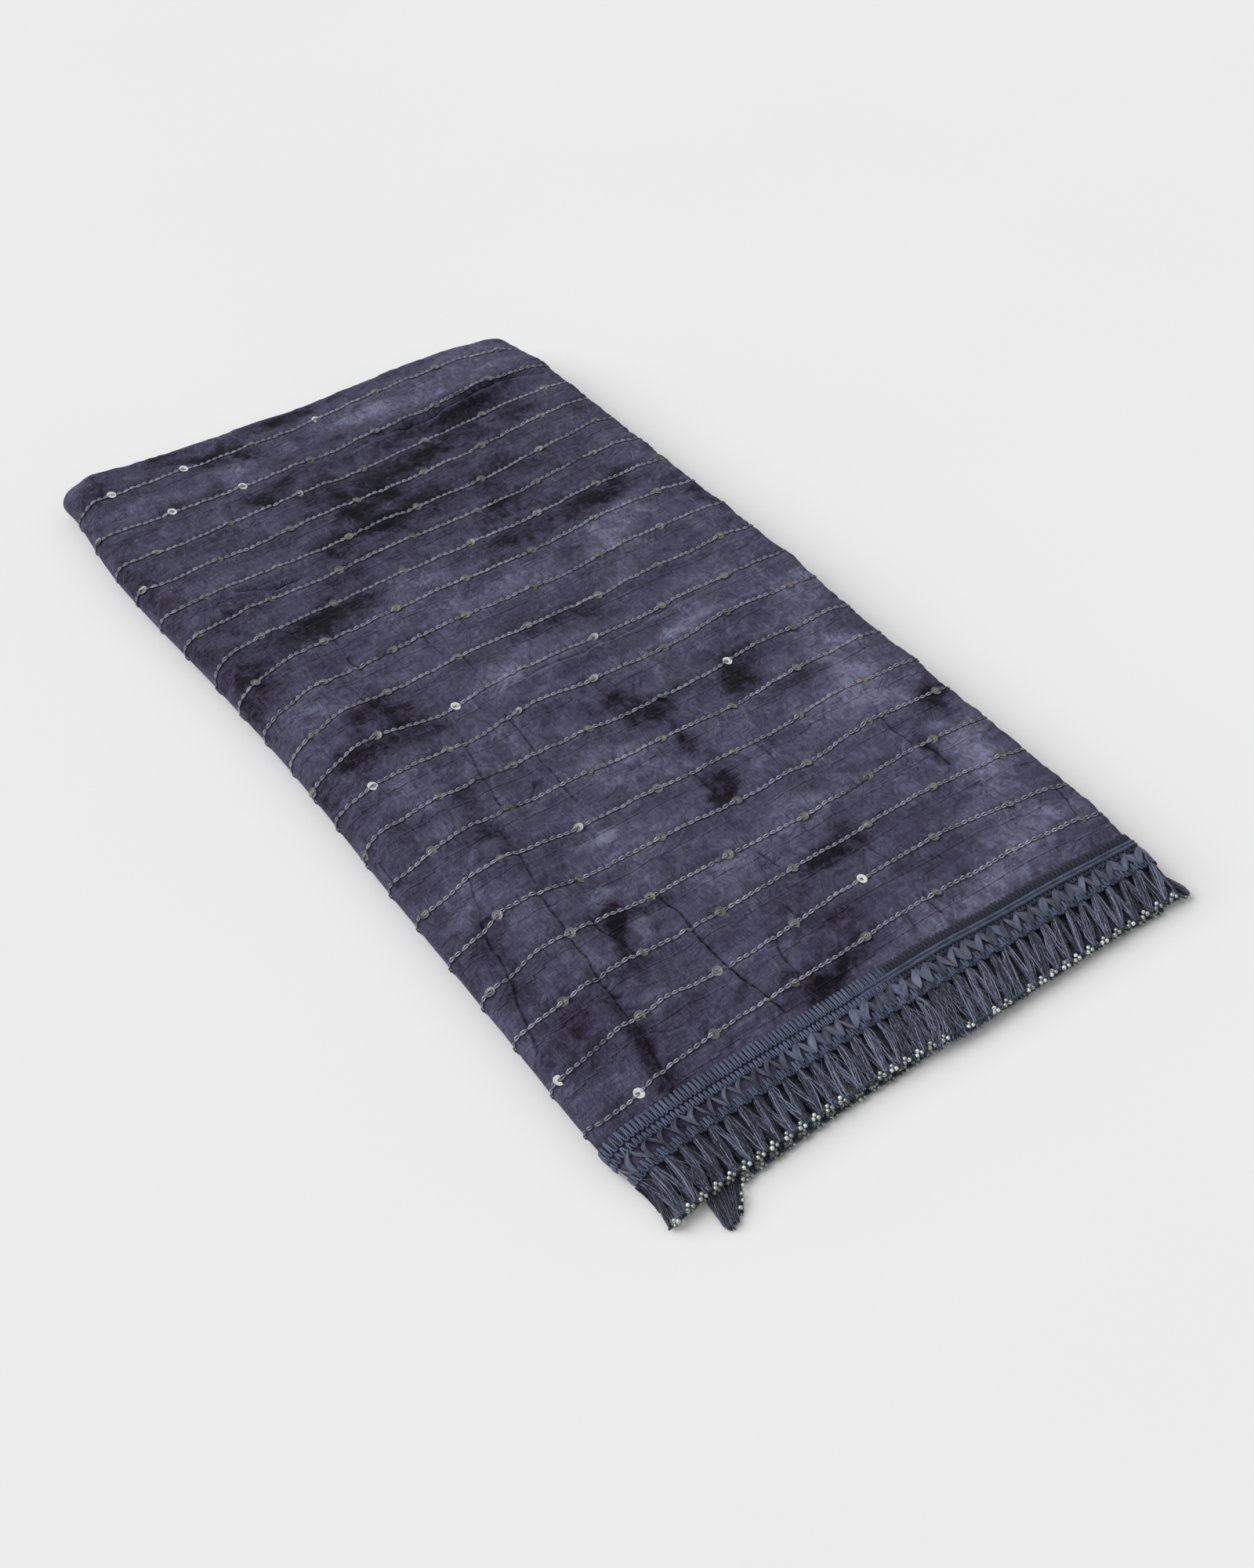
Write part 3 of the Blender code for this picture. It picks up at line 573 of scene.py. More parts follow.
class Bundle:
    """Gathers grids of points into one mesh, with a UV map in millimetres and a tone for each point."""

    def __init__(self):
        self.points, self.quads, self.corners, self.tones = [], [], [], []
        self.count = 0

    def grid(self, points, uv=None, tone=0.5, ring_rows=False, ring_columns=False):
        """Adds a grid of points (rows, columns, 3), closed in a ring along either way if asked."""
        rows, columns = points.shape[:2]
        i, j = np.meshgrid(
            np.arange(rows if ring_rows else rows - 1),
            np.arange(columns if ring_columns else columns - 1),
            indexing="ij",
        )
        steps = ((0, 0), (1, 0), (1, 1), (0, 1))
        index = [((i + a) % rows) * columns + (j + b) % columns for a, b in steps]
        self.quads.append(np.stack(index, -1).reshape(-1, 4) + self.count)
        if uv is None:
            uv = (np.arange(rows + 1, dtype=float), np.arange(columns + 1, dtype=float))
        if isinstance(uv, tuple):
            corner = [np.stack([uv[0][i + a], uv[1][j + b]], -1) for a, b in steps]
        else:
            corner = [uv[(i + a) % rows, (j + b) % columns] for a, b in steps]
        self.corners.append(np.stack(corner, 2).reshape(-1, 4, 2))
        self.points.append(points.reshape(-1, 3))
        self.tones.append(np.broadcast_to(tone, (rows, columns)).reshape(-1))
        self.count += rows * columns

    def tube(self, path, radius, sides, up, closed=False, tone=0.5):
        """Adds a tube round a path; path and radius are in metres, and the radius may vary along it."""
        if closed:
            tangent = np.roll(path, -1, 0) - np.roll(path, 1, 0)
        else:
            tangent = np.gradient(path, axis=0)
        tangent /= np.linalg.norm(tangent, axis=1, keepdims=True) + 1e-12
        side = np.cross(tangent, up)
        side /= np.linalg.norm(side, axis=1, keepdims=True) + 1e-12
        top = np.cross(side, tangent)
        angle = np.arange(sides) * 2 * np.pi / sides
        reach = np.broadcast_to(radius, len(path))[:, None, None]
        cos, sin = np.cos(angle)[None, :, None], np.sin(angle)[None, :, None]
        round_it = cos * side[:, None] + sin * top[:, None]
        lengths = np.linalg.norm(np.diff(path, axis=0, append=path[:1]), axis=1) / MM
        run = np.concatenate([[0.0], np.cumsum(lengths)]) + 7.3 * (len(self.points) % 97)
        spread = np.arange(sides + 1) / sides + 1.7 * (len(self.points) % 89)
        self.grid(path[:, None] + reach * round_it, (run, spread), np.reshape(tone, (-1, 1)), closed, True)

    def finish(self, name, material, slot, replaces=()):
        """Makes the mesh object, smooth, riding on the part's one body."""
        points, quads = np.concatenate(self.points), np.concatenate(self.quads)
        mesh = bpy.data.meshes.new(name)
        mesh.from_pydata(points.tolist(), [], quads.tolist())
        mesh.attributes.new("tone", "FLOAT", "POINT").data.foreach_set("value", np.concatenate(self.tones))
        corners = np.concatenate(self.corners).reshape(-1, 2)
        mesh.uv_layers.new(name="millimetres").data.foreach_set("uv", corners.ravel())
        mesh.shade_smooth()
        mesh.materials.append(material)
        obj = bpy.data.objects.new(name, mesh)
        bpy.context.scene.collection.objects.link(obj)
        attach(obj, "root")
        if replaces:
            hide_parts(*replaces)
        return obj


# Materials


class Look:
    """One node material round a Principled shader."""

    def __init__(self, name, **plain):
        self.material = bpy.data.materials.new(name)
        self.material.use_nodes = True
        self.tree = self.material.node_tree
        self.shader = self.tree.nodes["Principled BSDF"]
        for key, value in plain.items():
            self.shader.inputs[key.replace("_", " ").title().replace("Ior", "IOR")].default_value = value

    def node(self, kind, inputs=None, **settings):
        """Adds a node; an input is a plain value or another node's output."""
        made = self.tree.nodes.new("ShaderNode" + kind)
        for key, value in settings.items():
            setattr(made, key, value)
        for key, value in (inputs or {}).items():
            if isinstance(value, bpy.types.NodeSocket):
                self.tree.links.new(value, made.inputs[key])
            else:
                made.inputs[key].default_value = value
        return made

    def maths(self, operation, a, b=0.0, c=0.0):
        return self.node("Math", {0: a, 1: b, 2: c}, operation=operation).outputs[0]

    def times(self, a, b):
        return self.maths("MULTIPLY", a, b)

    def plus(self, total, value, factor):
        """total + value * factor."""
        return self.maths("MULTIPLY_ADD", value, factor, total)

    def attribute(self, name):
        return self.node("Attribute", attribute_name=name).outputs["Fac"]

    def millimetres(self, across, along):
        """UV coordinates in millimetres, scaled each way."""
        uv = self.node("UVMap", uv_map="millimetres").outputs[0]
        scaled = self.node("VectorMath", {0: uv, 1: (across, along, 1.0)}, operation="MULTIPLY")
        return scaled.outputs[0]

    def noise(self, vector, scale, detail=2.0, roughness=0.5, distortion=0.0):
        inputs = {"Vector": vector, "Scale": scale, "Detail": detail, "Roughness": roughness}
        inputs["Distortion"] = distortion
        return self.node("TexNoise", inputs, noise_dimensions="2D").outputs["Fac"]

    def centred(self, value):
        return self.maths("SUBTRACT", value, 0.5)

    def grain(self, vector, *settings):
        """Noise that lies about 0."""
        return self.centred(self.noise(vector, *settings))

    def own_tone(self, value, factor):
        """The mesh's own tone, with value * factor added."""
        return self.plus(self.attribute("tone"), value, factor)

    def ridged(self, value):
        """Sharp valleys where a noise passes its middle."""
        return self.maths("ABSOLUTE", self.centred(value))

    def bell(self, value, width):
        """Falls from 1 to 0 as a value leaves 0 either way."""
        far = self.maths("DIVIDE", value, width)
        return self.maths("EXPONENT", self.times(self.times(far, far), -1.0))

    def wave(self, vector, scale, direction, distortion=0.0):
        inputs = {"Vector": vector, "Scale": scale, "Distortion": distortion, "Detail Scale": 0.6}
        made = self.node("TexWave", inputs, bands_direction=direction)
        return made.outputs["Fac"]

    def ramp(self, factor, *stops):
        """A colour ramp with stops of (place, colour)."""
        made = self.node("ValToRGB", {"Fac": factor})
        elements = made.color_ramp.elements
        while len(elements) < len(stops):
            elements.new(0.5)
        for element, (place, colour) in zip(elements, stops):
            element.position = place
            element.color = (*colour, 1.0)
        return made.outputs["Color"]

    def bump(self, height, distance, strength=1.0):
        made = self.node("Bump", {"Height": height, "Distance": distance * MM, "Strength": strength})
        self.tree.links.new(made.outputs["Normal"], self.shader.inputs["Normal"])

    def paint(self, colour, key="Base Color"):
        self.tree.links.new(colour, self.shader.inputs[key])


WEAVE_PITCH, RIBBON_RIBS = 0.78, 0.5
WAVE_TURN = math.pi / 10      # a wave texture of scale 1 repeats after this distance


def cloth_look():
    """Tie-dyed plain weave: blotches from the mesh, then finer clouds, slubs and the weave, with painted
    shade in the creases and along the stitch rows, and painted light beside the creases.
    """
    look = Look(
        "tie_dyed_cloth", roughness=0.8, specular_ior_level=0.12, sheen_weight=0.04, sheen_roughness=0.5,
    )
    look.shader.inputs["Sheen Tint"].default_value = (0.75, 0.78, 1.0, 1.0)
    plain = look.millimetres(1.0, 1.0)
    dye = look.attribute("dye")
    clouds = look.grain(plain, 0.16, 6.0, 0.62, 1.4)
    specks = look.grain(plain, 0.7, 3.0, 0.6, 0.8)
    unrest = look.plus(1.15, look.maths("ABSOLUTE", dye), 1.7)
    shade = look.plus(dye, clouds, unrest)
    shade = look.plus(shade, specks, look.times(unrest, 0.35))
    across, along = (look.grain(look.millimetres(*scale), 1.0, 2.0) for scale in ((0.06, 1.7), (1.9, 0.07)))
    slubs = look.maths("ADD", across, along)
    shade = look.plus(shade, slubs, -0.55)
    warp, weft = (look.wave(plain, WAVE_TURN / WEAVE_PITCH, way, 0.9) for way in "XY")
    weave = look.times(warp, weft)
    shade = look.plus(shade, weave, -0.42)
    side, row = look.attribute("crease_side"), look.attribute("row_side")
    broken = look.plus(0.75, clouds, 2.6)
    crease = look.times(look.attribute("crease"), look.maths("MAXIMUM", broken, 0.1))
    # A line along each crease's trough darkens the colour as painted shade and also deepens the bump; the
    # flank beside it is lightened as painted light
    line = look.times(look.bell(side, 0.5), crease)
    flank = look.times(look.bell(look.maths("SUBTRACT", side, 1.5), 0.9), crease)
    shade = look.plus(shade, line, 0.8)
    shade = look.plus(shade, flank, -0.3)
    # Painted shadow: a thin dark line along each row of stitch
    shade = look.plus(shade, look.bell(row, 0.8), 0.25)
    look.paint(look.ramp(
        look.plus(0.435, shade, 0.42),
        (0.0, (0.170, 0.176, 0.268)),
        (0.22, (0.102, 0.102, 0.168)),
        (0.40, (0.058, 0.053, 0.096)),
        (0.60, (0.030, 0.025, 0.050)),
        (0.80, (0.010, 0.0075, 0.016)),
        (1.0, (0.003, 0.0025, 0.0045)),
    ))
    crinkle = look.noise(look.millimetres(1.0, 0.6), 0.45, 4.0, 0.62, 0.9)
    facets = look.ridged(look.noise(plain, 0.075, 3.0, 0.5, 1.2))
    pucker = look.times(look.noise(look.millimetres(0.6, 0.12), 1.0, 1.0), look.bell(row, 4.5))
    height = look.plus(crinkle, weave, 0.13)
    height = look.plus(height, facets, 3.2)
    height = look.plus(height, pucker, 1.3)
    height = look.plus(height, line, -0.8)
    look.bump(look.plus(height, slubs, 0.3), 0.75)
    return look.material


def thread_look(name, dark, light, roughness, twist, sheen):
    """Twisted thread, its colour between two ends of each strand's own tone."""
    look = Look(
        name, roughness=roughness, specular_ior_level=0.4, sheen_weight=sheen, sheen_roughness=0.4,
    )
    fibres = look.grain(look.millimetres(1.3, 6.0), 1.0, 2.0)
    look.paint(look.ramp(look.own_tone(fibres, 0.7), (0.0, dark), (1.0, light)))
    strands = look.node("SeparateXYZ", {0: look.millimetres(1.0 / twist, 1.0)})
    turn = look.maths("ADD", strands.outputs["X"], strands.outputs["Y"])
    look.bump(look.maths("SINE", look.times(turn, 2 * math.pi)), 0.06)
    return look.material


def rayon_look():
    """Loose shining filament: streaks along it, and short bright dashes painted in as glints."""
    look = Look(
        "rayon_thread", roughness=0.38, specular_ior_level=0.45, sheen_weight=0.15, sheen_roughness=0.4,
    )
    streaks = look.grain(look.millimetres(0.35, 3.4), 1.0, 3.0, 0.6)
    dashes = look.noise(look.millimetres(1.1, 3.0), 1.0, 2.0, 0.6)
    # Painted highlight: sparse bright dashes
    glint = look.times(look.maths("MAXIMUM", look.maths("SUBTRACT", dashes, 0.56), 0.0), 9.0)
    look.paint(look.ramp(
        look.plus(look.own_tone(streaks, 1.5), glint, look.attribute("tone")),
        (0.0, (0.009, 0.011, 0.020)),
        (0.35, (0.040, 0.046, 0.086)),
        (0.65, (0.084, 0.096, 0.166)),
        (1.0, (0.235, 0.262, 0.380)),
    ))
    look.bump(streaks, 0.2)
    return look.material


def ribbon_look():
    """Flat sheer ribbon with fine ribs along it."""
    look = Look(
        "sheer_ribbon", roughness=0.5, specular_ior_level=0.4, sheen_weight=0.35, sheen_roughness=0.35,
    )
    ribs = look.wave(look.millimetres(1.0, 1.0), WAVE_TURN / RIBBON_RIBS, "Y", 2.5)
    cloudy = look.grain(look.millimetres(0.4, 1.2), 1.0, 3.0)
    tone = look.plus(look.own_tone(cloudy, 0.9), ribs, 0.16)
    look.paint(look.ramp(tone, (0.0, (0.026, 0.032, 0.058)), (1.0, (0.120, 0.142, 0.225))))
    look.bump(ribs, 0.1)
    return look.material


def sequin_look():
    """Thin clear plastic, greyish green, with a painted bright reflection on the sequins given a tone near
    1.
    """
    look = Look(
        "sequin", roughness=0.25, specular_ior_level=0.6, metallic=0.1, coat_weight=0.5,
        coat_roughness=0.12,
    )
    cloudy = look.noise(look.millimetres(0.9, 0.9), 1.0, 2.0)
    look.paint(look.ramp(
        look.own_tone(look.centred(cloudy), 0.5),
        (0.0, (0.030, 0.030, 0.030)),
        (0.45, (0.125, 0.128, 0.112)),
        (0.75, (0.300, 0.300, 0.280)),
        # A painted reflection, for the sequins turned to the light
        (1.0, (0.850, 0.860, 0.830)),
    ))
    look.bump(cloudy, 0.15)
    return look.material


def bead_look():
    """Silver-lined glass."""
    look = Look(
        "glass_bead", roughness=0.12, specular_ior_level=0.8, metallic=0.35, coat_weight=1.0,
        coat_roughness=0.04,
    )
    cloudy = look.noise(look.millimetres(1.0, 1.0), 0.9, 2.0)
    look.paint(look.ramp(
        look.own_tone(look.centred(cloudy), 0.5),
        (0.0, (0.07, 0.08, 0.075)),
        (0.6, (0.34, 0.38, 0.35)),
        (1.0, (0.80, 0.84, 0.80)),
    ))
    look.bump(cloudy, 0.1)
    return look.material


CLOTH = cloth_look()
STITCH_THREAD = thread_look("stitch_thread", (0.030, 0.030, 0.048), (0.370, 0.374, 0.465), 0.6, 0.9, 0.1)
GIMP = thread_look("gimp_cord", (0.009, 0.012, 0.032), (0.102, 0.130, 0.218), 0.55, 0.8, 0.05)
RAYON = rayon_look()
EDGE_THREAD = thread_look("edge_thread", (0.012, 0.022, 0.032), (0.075, 0.120, 0.150), 0.5, 0.7, 0.1)
RIBBON = ribbon_look()
SEQUIN_PLASTIC = sequin_look()
BEAD = bead_look()


# Cloth

CLOTH_STEP = 1.36             # length of a quad
COLUMNS = (6, 10, 186, 19, 12)    # quads across the tuck, right fold, top, left fold and floor


def ply_columns(y):
    """u of each column of the outer ply at each y, from its tuck to its selvedge."""
    s = Section(y)
    folded, floor = s.right_end + s.right_arc, s.left_end - s.left_arc
    selvedge = floor - (s.right - SELVEDGE_INSET - s.left_end)
    stops = [folded + TUCK, folded, s.right_end, s.left_end, floor, selvedge]
    columns = []
    for count, start, end in zip(COLUMNS, stops, stops[1:]):
        columns += [start + (end - start) * k / count for k in range(count)]
    return np.stack(columns + [selvedge], -1)


def shade_cloth(obj, dye, crease, crease_side, row_side):
    """Stores what the cloth's material reads: the dye, and the nearest crease and row of stitch, for the
    painted shade along them.
    """
    shading = {"dye": dye, "crease": crease, "crease_side": crease_side, "row_side": row_side}
    for name, values in shading.items():
        obj.data.attributes.new(name, "FLOAT", "POINT").data.foreach_set("value", values.ravel())


def outer_cloth():
    """The ply that wraps the packet, thin, rolled in at the back."""
    nose_at = CLOTH_BACK - NOSE
    count = int((nose_at - CLOTH_FRONT) / CLOTH_STEP)
    flat_rows = np.linspace(CLOTH_FRONT, nose_at, count)
    turn = np.linspace(0, np.pi, 7)[1:]
    inner_rows = [nose_at - RETURN / 2, nose_at - RETURN]
    rows = np.concatenate([flat_rows, nose_at + NOSE * np.sin(turn), inner_rows])
    depth = np.concatenate([np.zeros(count), NOSE - NOSE * np.cos(turn), [2 * NOSE, 2 * NOSE]])
    run = np.concatenate([[0], np.cumsum(np.hypot(np.diff(rows), np.diff(depth)))])
    u = ply_columns(rows)
    y, inside, along = (np.broadcast_to(a[:, None], u.shape) for a in (rows, depth, run))
    cloth = Bundle()
    cloth.grid(ply_at(u, y, -inside), np.stack([u, along], -1))
    obj = cloth.finish("tie_dyed_cloth", CLOTH, "cloth", ["outer_cloth"])
    # The crease strength sets the painted shade in the creases: less on the folds, none under the lace
    side, strength = crease_profile(u, y)[1:]
    shade_cloth(obj, dye_at(u, y), strength * unroll(u, y)[4] * clear_of_lace(y), side, row_side(u, y))
    return obj


# Chain stitch

LINK, LINK_HALF_WIDTH = 3.75, 0.66
LINK_THREAD, LINK_BELLY = 0.24, 0.13    # radius of the thread, and how much fuller it is half way
LINK_POINTS, LINK_SIDES = 12, 5
# Rows, and the u on them, where the thread is darker
DARKER_STITCHES = ((15, -83), (13, -76), (12, -73), (5, 98), (18, -120), (8, -70), (16, 60))
STITCH_PAST_LEFT, STITCH_PAST_RIGHT = 9.0, 8.0
SHADED_LEFT, SHADED_RIGHT, SHADE_WIDE = -138.0, 128.0, 16.0    # painted shade on the thread past these, where it runs onto the folds
SEQUINS_SHADED_PAST, SEQUIN_SHADE_WIDE = -134.0, 8.0    # sequins left of this get painted shade, on the left fold
SEQUINS_A_ROW, SEQUINS_END = 7, 143
# The section of a sequin, from its hole outwards and back
SEQUIN = table(
    "radius height",
    (0.55, 0.02), (1.0, -0.05), (1.8, 0.05), (2.35, 0.17), (2.5, 0.14),
    (2.3, 0.05), (1.8, -0.06), (1.0, -0.16), (0.6, -0.10),
)
SEQUIN_SIDES, SEQUIN_LIFT = 18, 0.75
CATCHES_LIGHT = Vector((0.16, -0.16, 1.0)).normalized()


def sequin_places(k):
    """u of each sequin of row k."""
    jitter = np.random.default_rng(500 + k).uniform(-1.2, 1.2, SEQUINS_A_ROW)
    places = STITCH_ROWS[k, 0] + SEQUIN_SPACING * np.arange(SEQUINS_A_ROW) + jitter
    return places[places < SEQUINS_END]


def chain_row(bundle, k, rng):
    """One row of chain stitch: loops of thread, each from the end of the last, rising over the sequins."""
    start = ROW_STATIONS[0] - STITCH_PAST_LEFT
    end = read(OUTLINE, "y", "right", STITCH_ROWS[k, -1]) + STITCH_PAST_RIGHT
    count = int((end - start) / LINK)
    phase = np.arange(LINK_POINTS) * 2 * np.pi / LINK_POINTS
    forward = 0.5 - 0.5 * np.cos(phase)

    def vary(low, high):
        return rng.uniform(low, high, (count, 1))

    base = start + LINK * np.arange(count)[:, None] + vary(-0.15, 0.15)
    row = np.full_like(base, k * 1.31)
    slack = 0.75 + 0.25 * noise(base / 22, row, 121)
    width = LINK_HALF_WIDTH * vary(0.85, 1.1) * (0.45 + 0.55 * slack) * (0.30 + 0.85 * arch(forward**1.2))
    u = base + LINK * vary(0.98, 1.05) * forward
    y = row_line(k, u) + width * np.sin(phase) + vary(-0.1, 0.1)
    height = 0.18 + 0.35 * arch(np.clip(forward, 0.06, 1)) + 0.2 * forward + np.zeros_like(u)
    for place in sequin_places(k):
        height += 0.75 * bell(u - place + 1.3, 1.5)
    paths, above = ply_at(u, y, height), ply_at(u, y, height + 0.5)
    darker_stretch = sum(bell(base - x, 7) for row_at, x in DARKER_STITCHES if row_at == k)
    tones = 0.62 + 0.22 * noise(base / 9, row, 122) + vary(-0.14, 0.14) - 0.5 * darker_stretch
    # Painted shade on the stitches where they run onto the two folds
    tones -= 0.35 * blend((SHADED_LEFT - base) / SHADE_WIDE)
    tones -= 0.35 * blend((base - SHADED_RIGHT) / SHADE_WIDE)
    # Each link is painted lighter at its full middle, as painted light, and darker at its ends where it
    # meets the next link, as painted shade
    belly = arch(forward)
    radius = (LINK_THREAD + LINK_BELLY * belly) * MM
    for path, over, tone in zip(paths, above, tones):
        bundle.tube(path, radius, LINK_SIDES, over - path, closed=True, tone=tone - 0.42 + 0.62 * belly)


def chain_stitch(name, rows, seed):
    """Some of the rows as one piece."""
    bundle = Bundle()
    rng = np.random.default_rng(seed)
    for k in rows:
        chain_row(bundle, k, rng)
    bundle.finish(name, STITCH_THREAD, "cloth")


def sequins():
    """Cupped discs with a hole, each tilted its own way on its row."""
    bundle = Bundle()
    rng = np.random.default_rng(77)
    ring = np.arange(SEQUIN_SIDES) * 2 * np.pi / SEQUIN_SIDES
    cos, sin = np.cos(ring)[:, None, None], np.sin(ring)[:, None, None]
    for k in range(len(STITCH_ROWS)):
        for n, place in enumerate(sequin_places(k)):
            u = np.array((place, place + 0.8, place))
            y = row_line(k, np.full(3, place)) + np.array((0, 0, 0.8))
            centre, right, back = (Vector(p) for p in ply_at(u, y, 0.0, 0.5))
            normal = (right - centre).cross(back - centre).normalized()
            bright = (k, n) in BRIGHT_SEQUINS
            lean = Vector((rng.normal(0, 0.16), rng.normal(0, 0.16), 0))
            normal = CATCHES_LIGHT if bright else (normal + lean).normalized()
            across = normal.cross(Vector((0, 1, 0))).normalized()
            along = normal.cross(across)
            middle = np.array(centre + normal * SEQUIN_LIFT * MM)
            out = cos * np.array(across) + sin * np.array(along)
            out = out * SEQUIN["radius"][:, None] + np.array(normal) * SEQUIN["height"][:, None]
            # Sequins on the left fold get a lower tone: painted shade
            fold_shade = 0.3 * float(blend(np.array(SEQUINS_SHADED_PAST - place) / SEQUIN_SHADE_WIDE))
            # Sequins turned to the light get tone 1, a painted bright reflection
            tone = 1.0 if bright else rng.uniform(0.15, 0.5) - fold_shade
            bundle.grid(middle + MM * out, tone=tone, ring_rows=True, ring_columns=True)
    bundle.finish("sequins", SEQUIN_PLASTIC, "beads")


# Lace

LACE_PITCH, LACE_LIFT = 7.5, 0.5
CROWDING = 0.07               # the repeats lie closer together in the middle of the lace by this share
CROWDED_OUT = 142.0           # and not at all this far from its middle
RIGHT_SHARE, LEFT_SHARE = 0.45, 0.62    # how far round the folds the lace goes
UPPER_BRAID = {"high": -227.2, "low": -232.8, "pitch": 2.25, "cord": 0.49, "pair": 0.10}
LOWER_BRAID = {"high": -233.8, "low": -237.0, "pitch": 2.25, "cord": 0.47, "pair": 0.07}
BRAID_SEAM = -233.3
# From here to the right the upper band of the braid is turned under, and its double edge shows as a strip
TURNED_FROM, TURNED_OVER = -4.0, 16.0
STRIP_HIGH, STRIP_LOW, STRIP_AHEAD, STRIP_OVER = -231.5, -235.0, 18.0, 12.0
RIB_PITCH, RIB_STEPS = 1.0, 4
SCALLOP = {"high": -243.2, "low": -246.6, "pitch": 1.875, "cord": 0.46, "pair": 0.10}
SCALLOP_RISE = 0.55
ZIGZAG = {"high": -236.4, "low": -244.6, "narrow": 0.95, "wide": 1.95, "wider_past": -75, "over": 45}
LOCK = table(
    "y centre half_width top thick",
    (-246.0, 0.75, 0.85, -0.3, 1.2),
    (-249.5, 1.15, 1.20, -0.1, 1.6),
    (-256.0, 2.05, 1.70, 0.2, 1.8),
    (-261.5, 3.00, 1.40, 0.5, 1.5),
    (-265.2, 3.45, 0.75, 0.7, 1.0),
)
CORE_SIDES = 10
BACKING_HIGH, BACKING_LOW = -245.6, -258.0
SKEW = 0.9                    # all locks lean this far along the lace
FRAYED = table("x0 x1 most", (-6, 34, 1.0), (-74, 72, 0.5))


def lace_u(share, y):
    """u at a share of the way along the top lace, from the right fold to the left one."""
    s = Section(y)
    start = s.right_end + s.right_arc * (1 - RIGHT_SHARE)
    end = s.left_end - s.left_arc * LEFT_SHARE
    u = start + (end - start) * share
    return u + CROWDING * u * (np.clip(np.abs(u) / CROWDED_OUT, 0, 1) ** 2 - 1)


LACE_LENGTH = float(lace_u(0.0, np.array(ZIGZAG["high"])) - lace_u(1.0, np.array(ZIGZAG["high"])))
LACE_REPEATS = int(LACE_LENGTH // LACE_PITCH)
LACE_WHOLE = LACE_REPEATS * LACE_PITCH


def lace_at(s, y, lift):
    """Place in metres at s along the top lace, at y across it and a height over the cloth."""
    s, y, lift = np.broadcast_arrays(s, y, lift)
    return ply_at(lace_u(s / LACE_WHOLE, y), y, LACE_LIFT + lift, 0.0)


def frayed(s):
    """How far the fringe is frayed at s, from 0 to 1."""
    x = lace_u(s / LACE_WHOLE, np.full_like(np.asarray(s, float), BEAD_EDGE))
    most = 0.0
    for part in each(FRAYED):
        middle, core = (part["x0"] + part["x1"]) / 2, 0.3 * (part["x1"] - part["x0"])
        most = np.maximum(most, part["most"] * (1 - blend((np.abs(x - middle) - core) / core)))
    return most


def beads_lost(s):
    """Share of the bead groups that are missing at s."""
    return 1.2 * (frayed(s) - 0.4)


def lace_cord(bundle, s, y, lift, radius, sides=6, tone=0.5):
    """A cord along the lace."""
    path, over = lace_at(s, y, lift), lace_at(s, y, lift + 0.5)
    bundle.tube(path, radius * MM, sides, over - path, tone=tone)


def meander(shape, steps, sway=0.0):
    """s and y of a cord that runs up and down between two lines, its legs drawn together in pairs."""
    turns = int(LACE_WHOLE / shape["pitch"])
    t = np.linspace(0, turns, turns * steps + 1)
    s = shape["pitch"] * (t + shape["pair"] * np.cos(2 * np.pi * t))
    swing = np.tanh(2.6 * np.sin(2 * np.pi * t)) / math.tanh(2.6)
    middle, half = (shape["high"] + shape["low"]) / 2, (shape["high"] - shape["low"]) / 2
    return s, middle + half * swing + sway * np.cos(2 * np.pi * s / LACE_PITCH)


def lace_ground():
    """The woven ground that the braid's cord is worked on."""
    bundle = Bundle()
    s = np.linspace(0, LACE_WHOLE, 300)
    y = np.linspace(UPPER_BRAID["high"] - 0.6, LOWER_BRAID["low"] + 0.9, 7)
    grid_s, grid_y = np.meshgrid(s, y, indexing="ij")
    bundle.grid(lace_at(grid_s, grid_y, -0.25), (s, y), tone=-0.1)
    bundle.finish("lace_ground", GIMP, "lace", ["lace_tape"])


def turned_at(s, y):
    """How far the braid is turned under at s, from 0 to 1."""
    return blend((lace_u(s / LACE_WHOLE, y) - TURNED_FROM) / TURNED_OVER)


def turned_strip(bundle):
    """The ribbed double edge that shows where the braid is turned: flat and hidden elsewhere."""
    run = np.arange(0, LACE_WHOLE, RIB_PITCH / RIB_STEPS)
    across = np.linspace(0, 1, 11)
    s, t = np.meshgrid(run, across, indexing="ij")
    y = STRIP_HIGH + (STRIP_LOW - STRIP_HIGH) * t
    turned = blend((lace_u(s / LACE_WHOLE, y) - TURNED_FROM + STRIP_AHEAD) / STRIP_OVER)
    rib = np.sin(2 * np.pi * s / RIB_PITCH + 2 * np.pi * (t > 0.5) * 0.3)
    hump = np.abs(np.sin(2 * np.pi * t))
    lift = -1.0 + turned * (1.35 + 0.55 * hump + 0.13 * rib * hump)
    # Painted light on the crowns of the strip's two ridges and its ribs, painted shade in the grooves
    tone = 0.12 + 0.42 * hump + 0.2 * rib + 0.2 * noise(s / 3, t * 3, 58)
    bundle.grid(lace_at(s, y, lift), (run, across * 3.3), tone=tone)


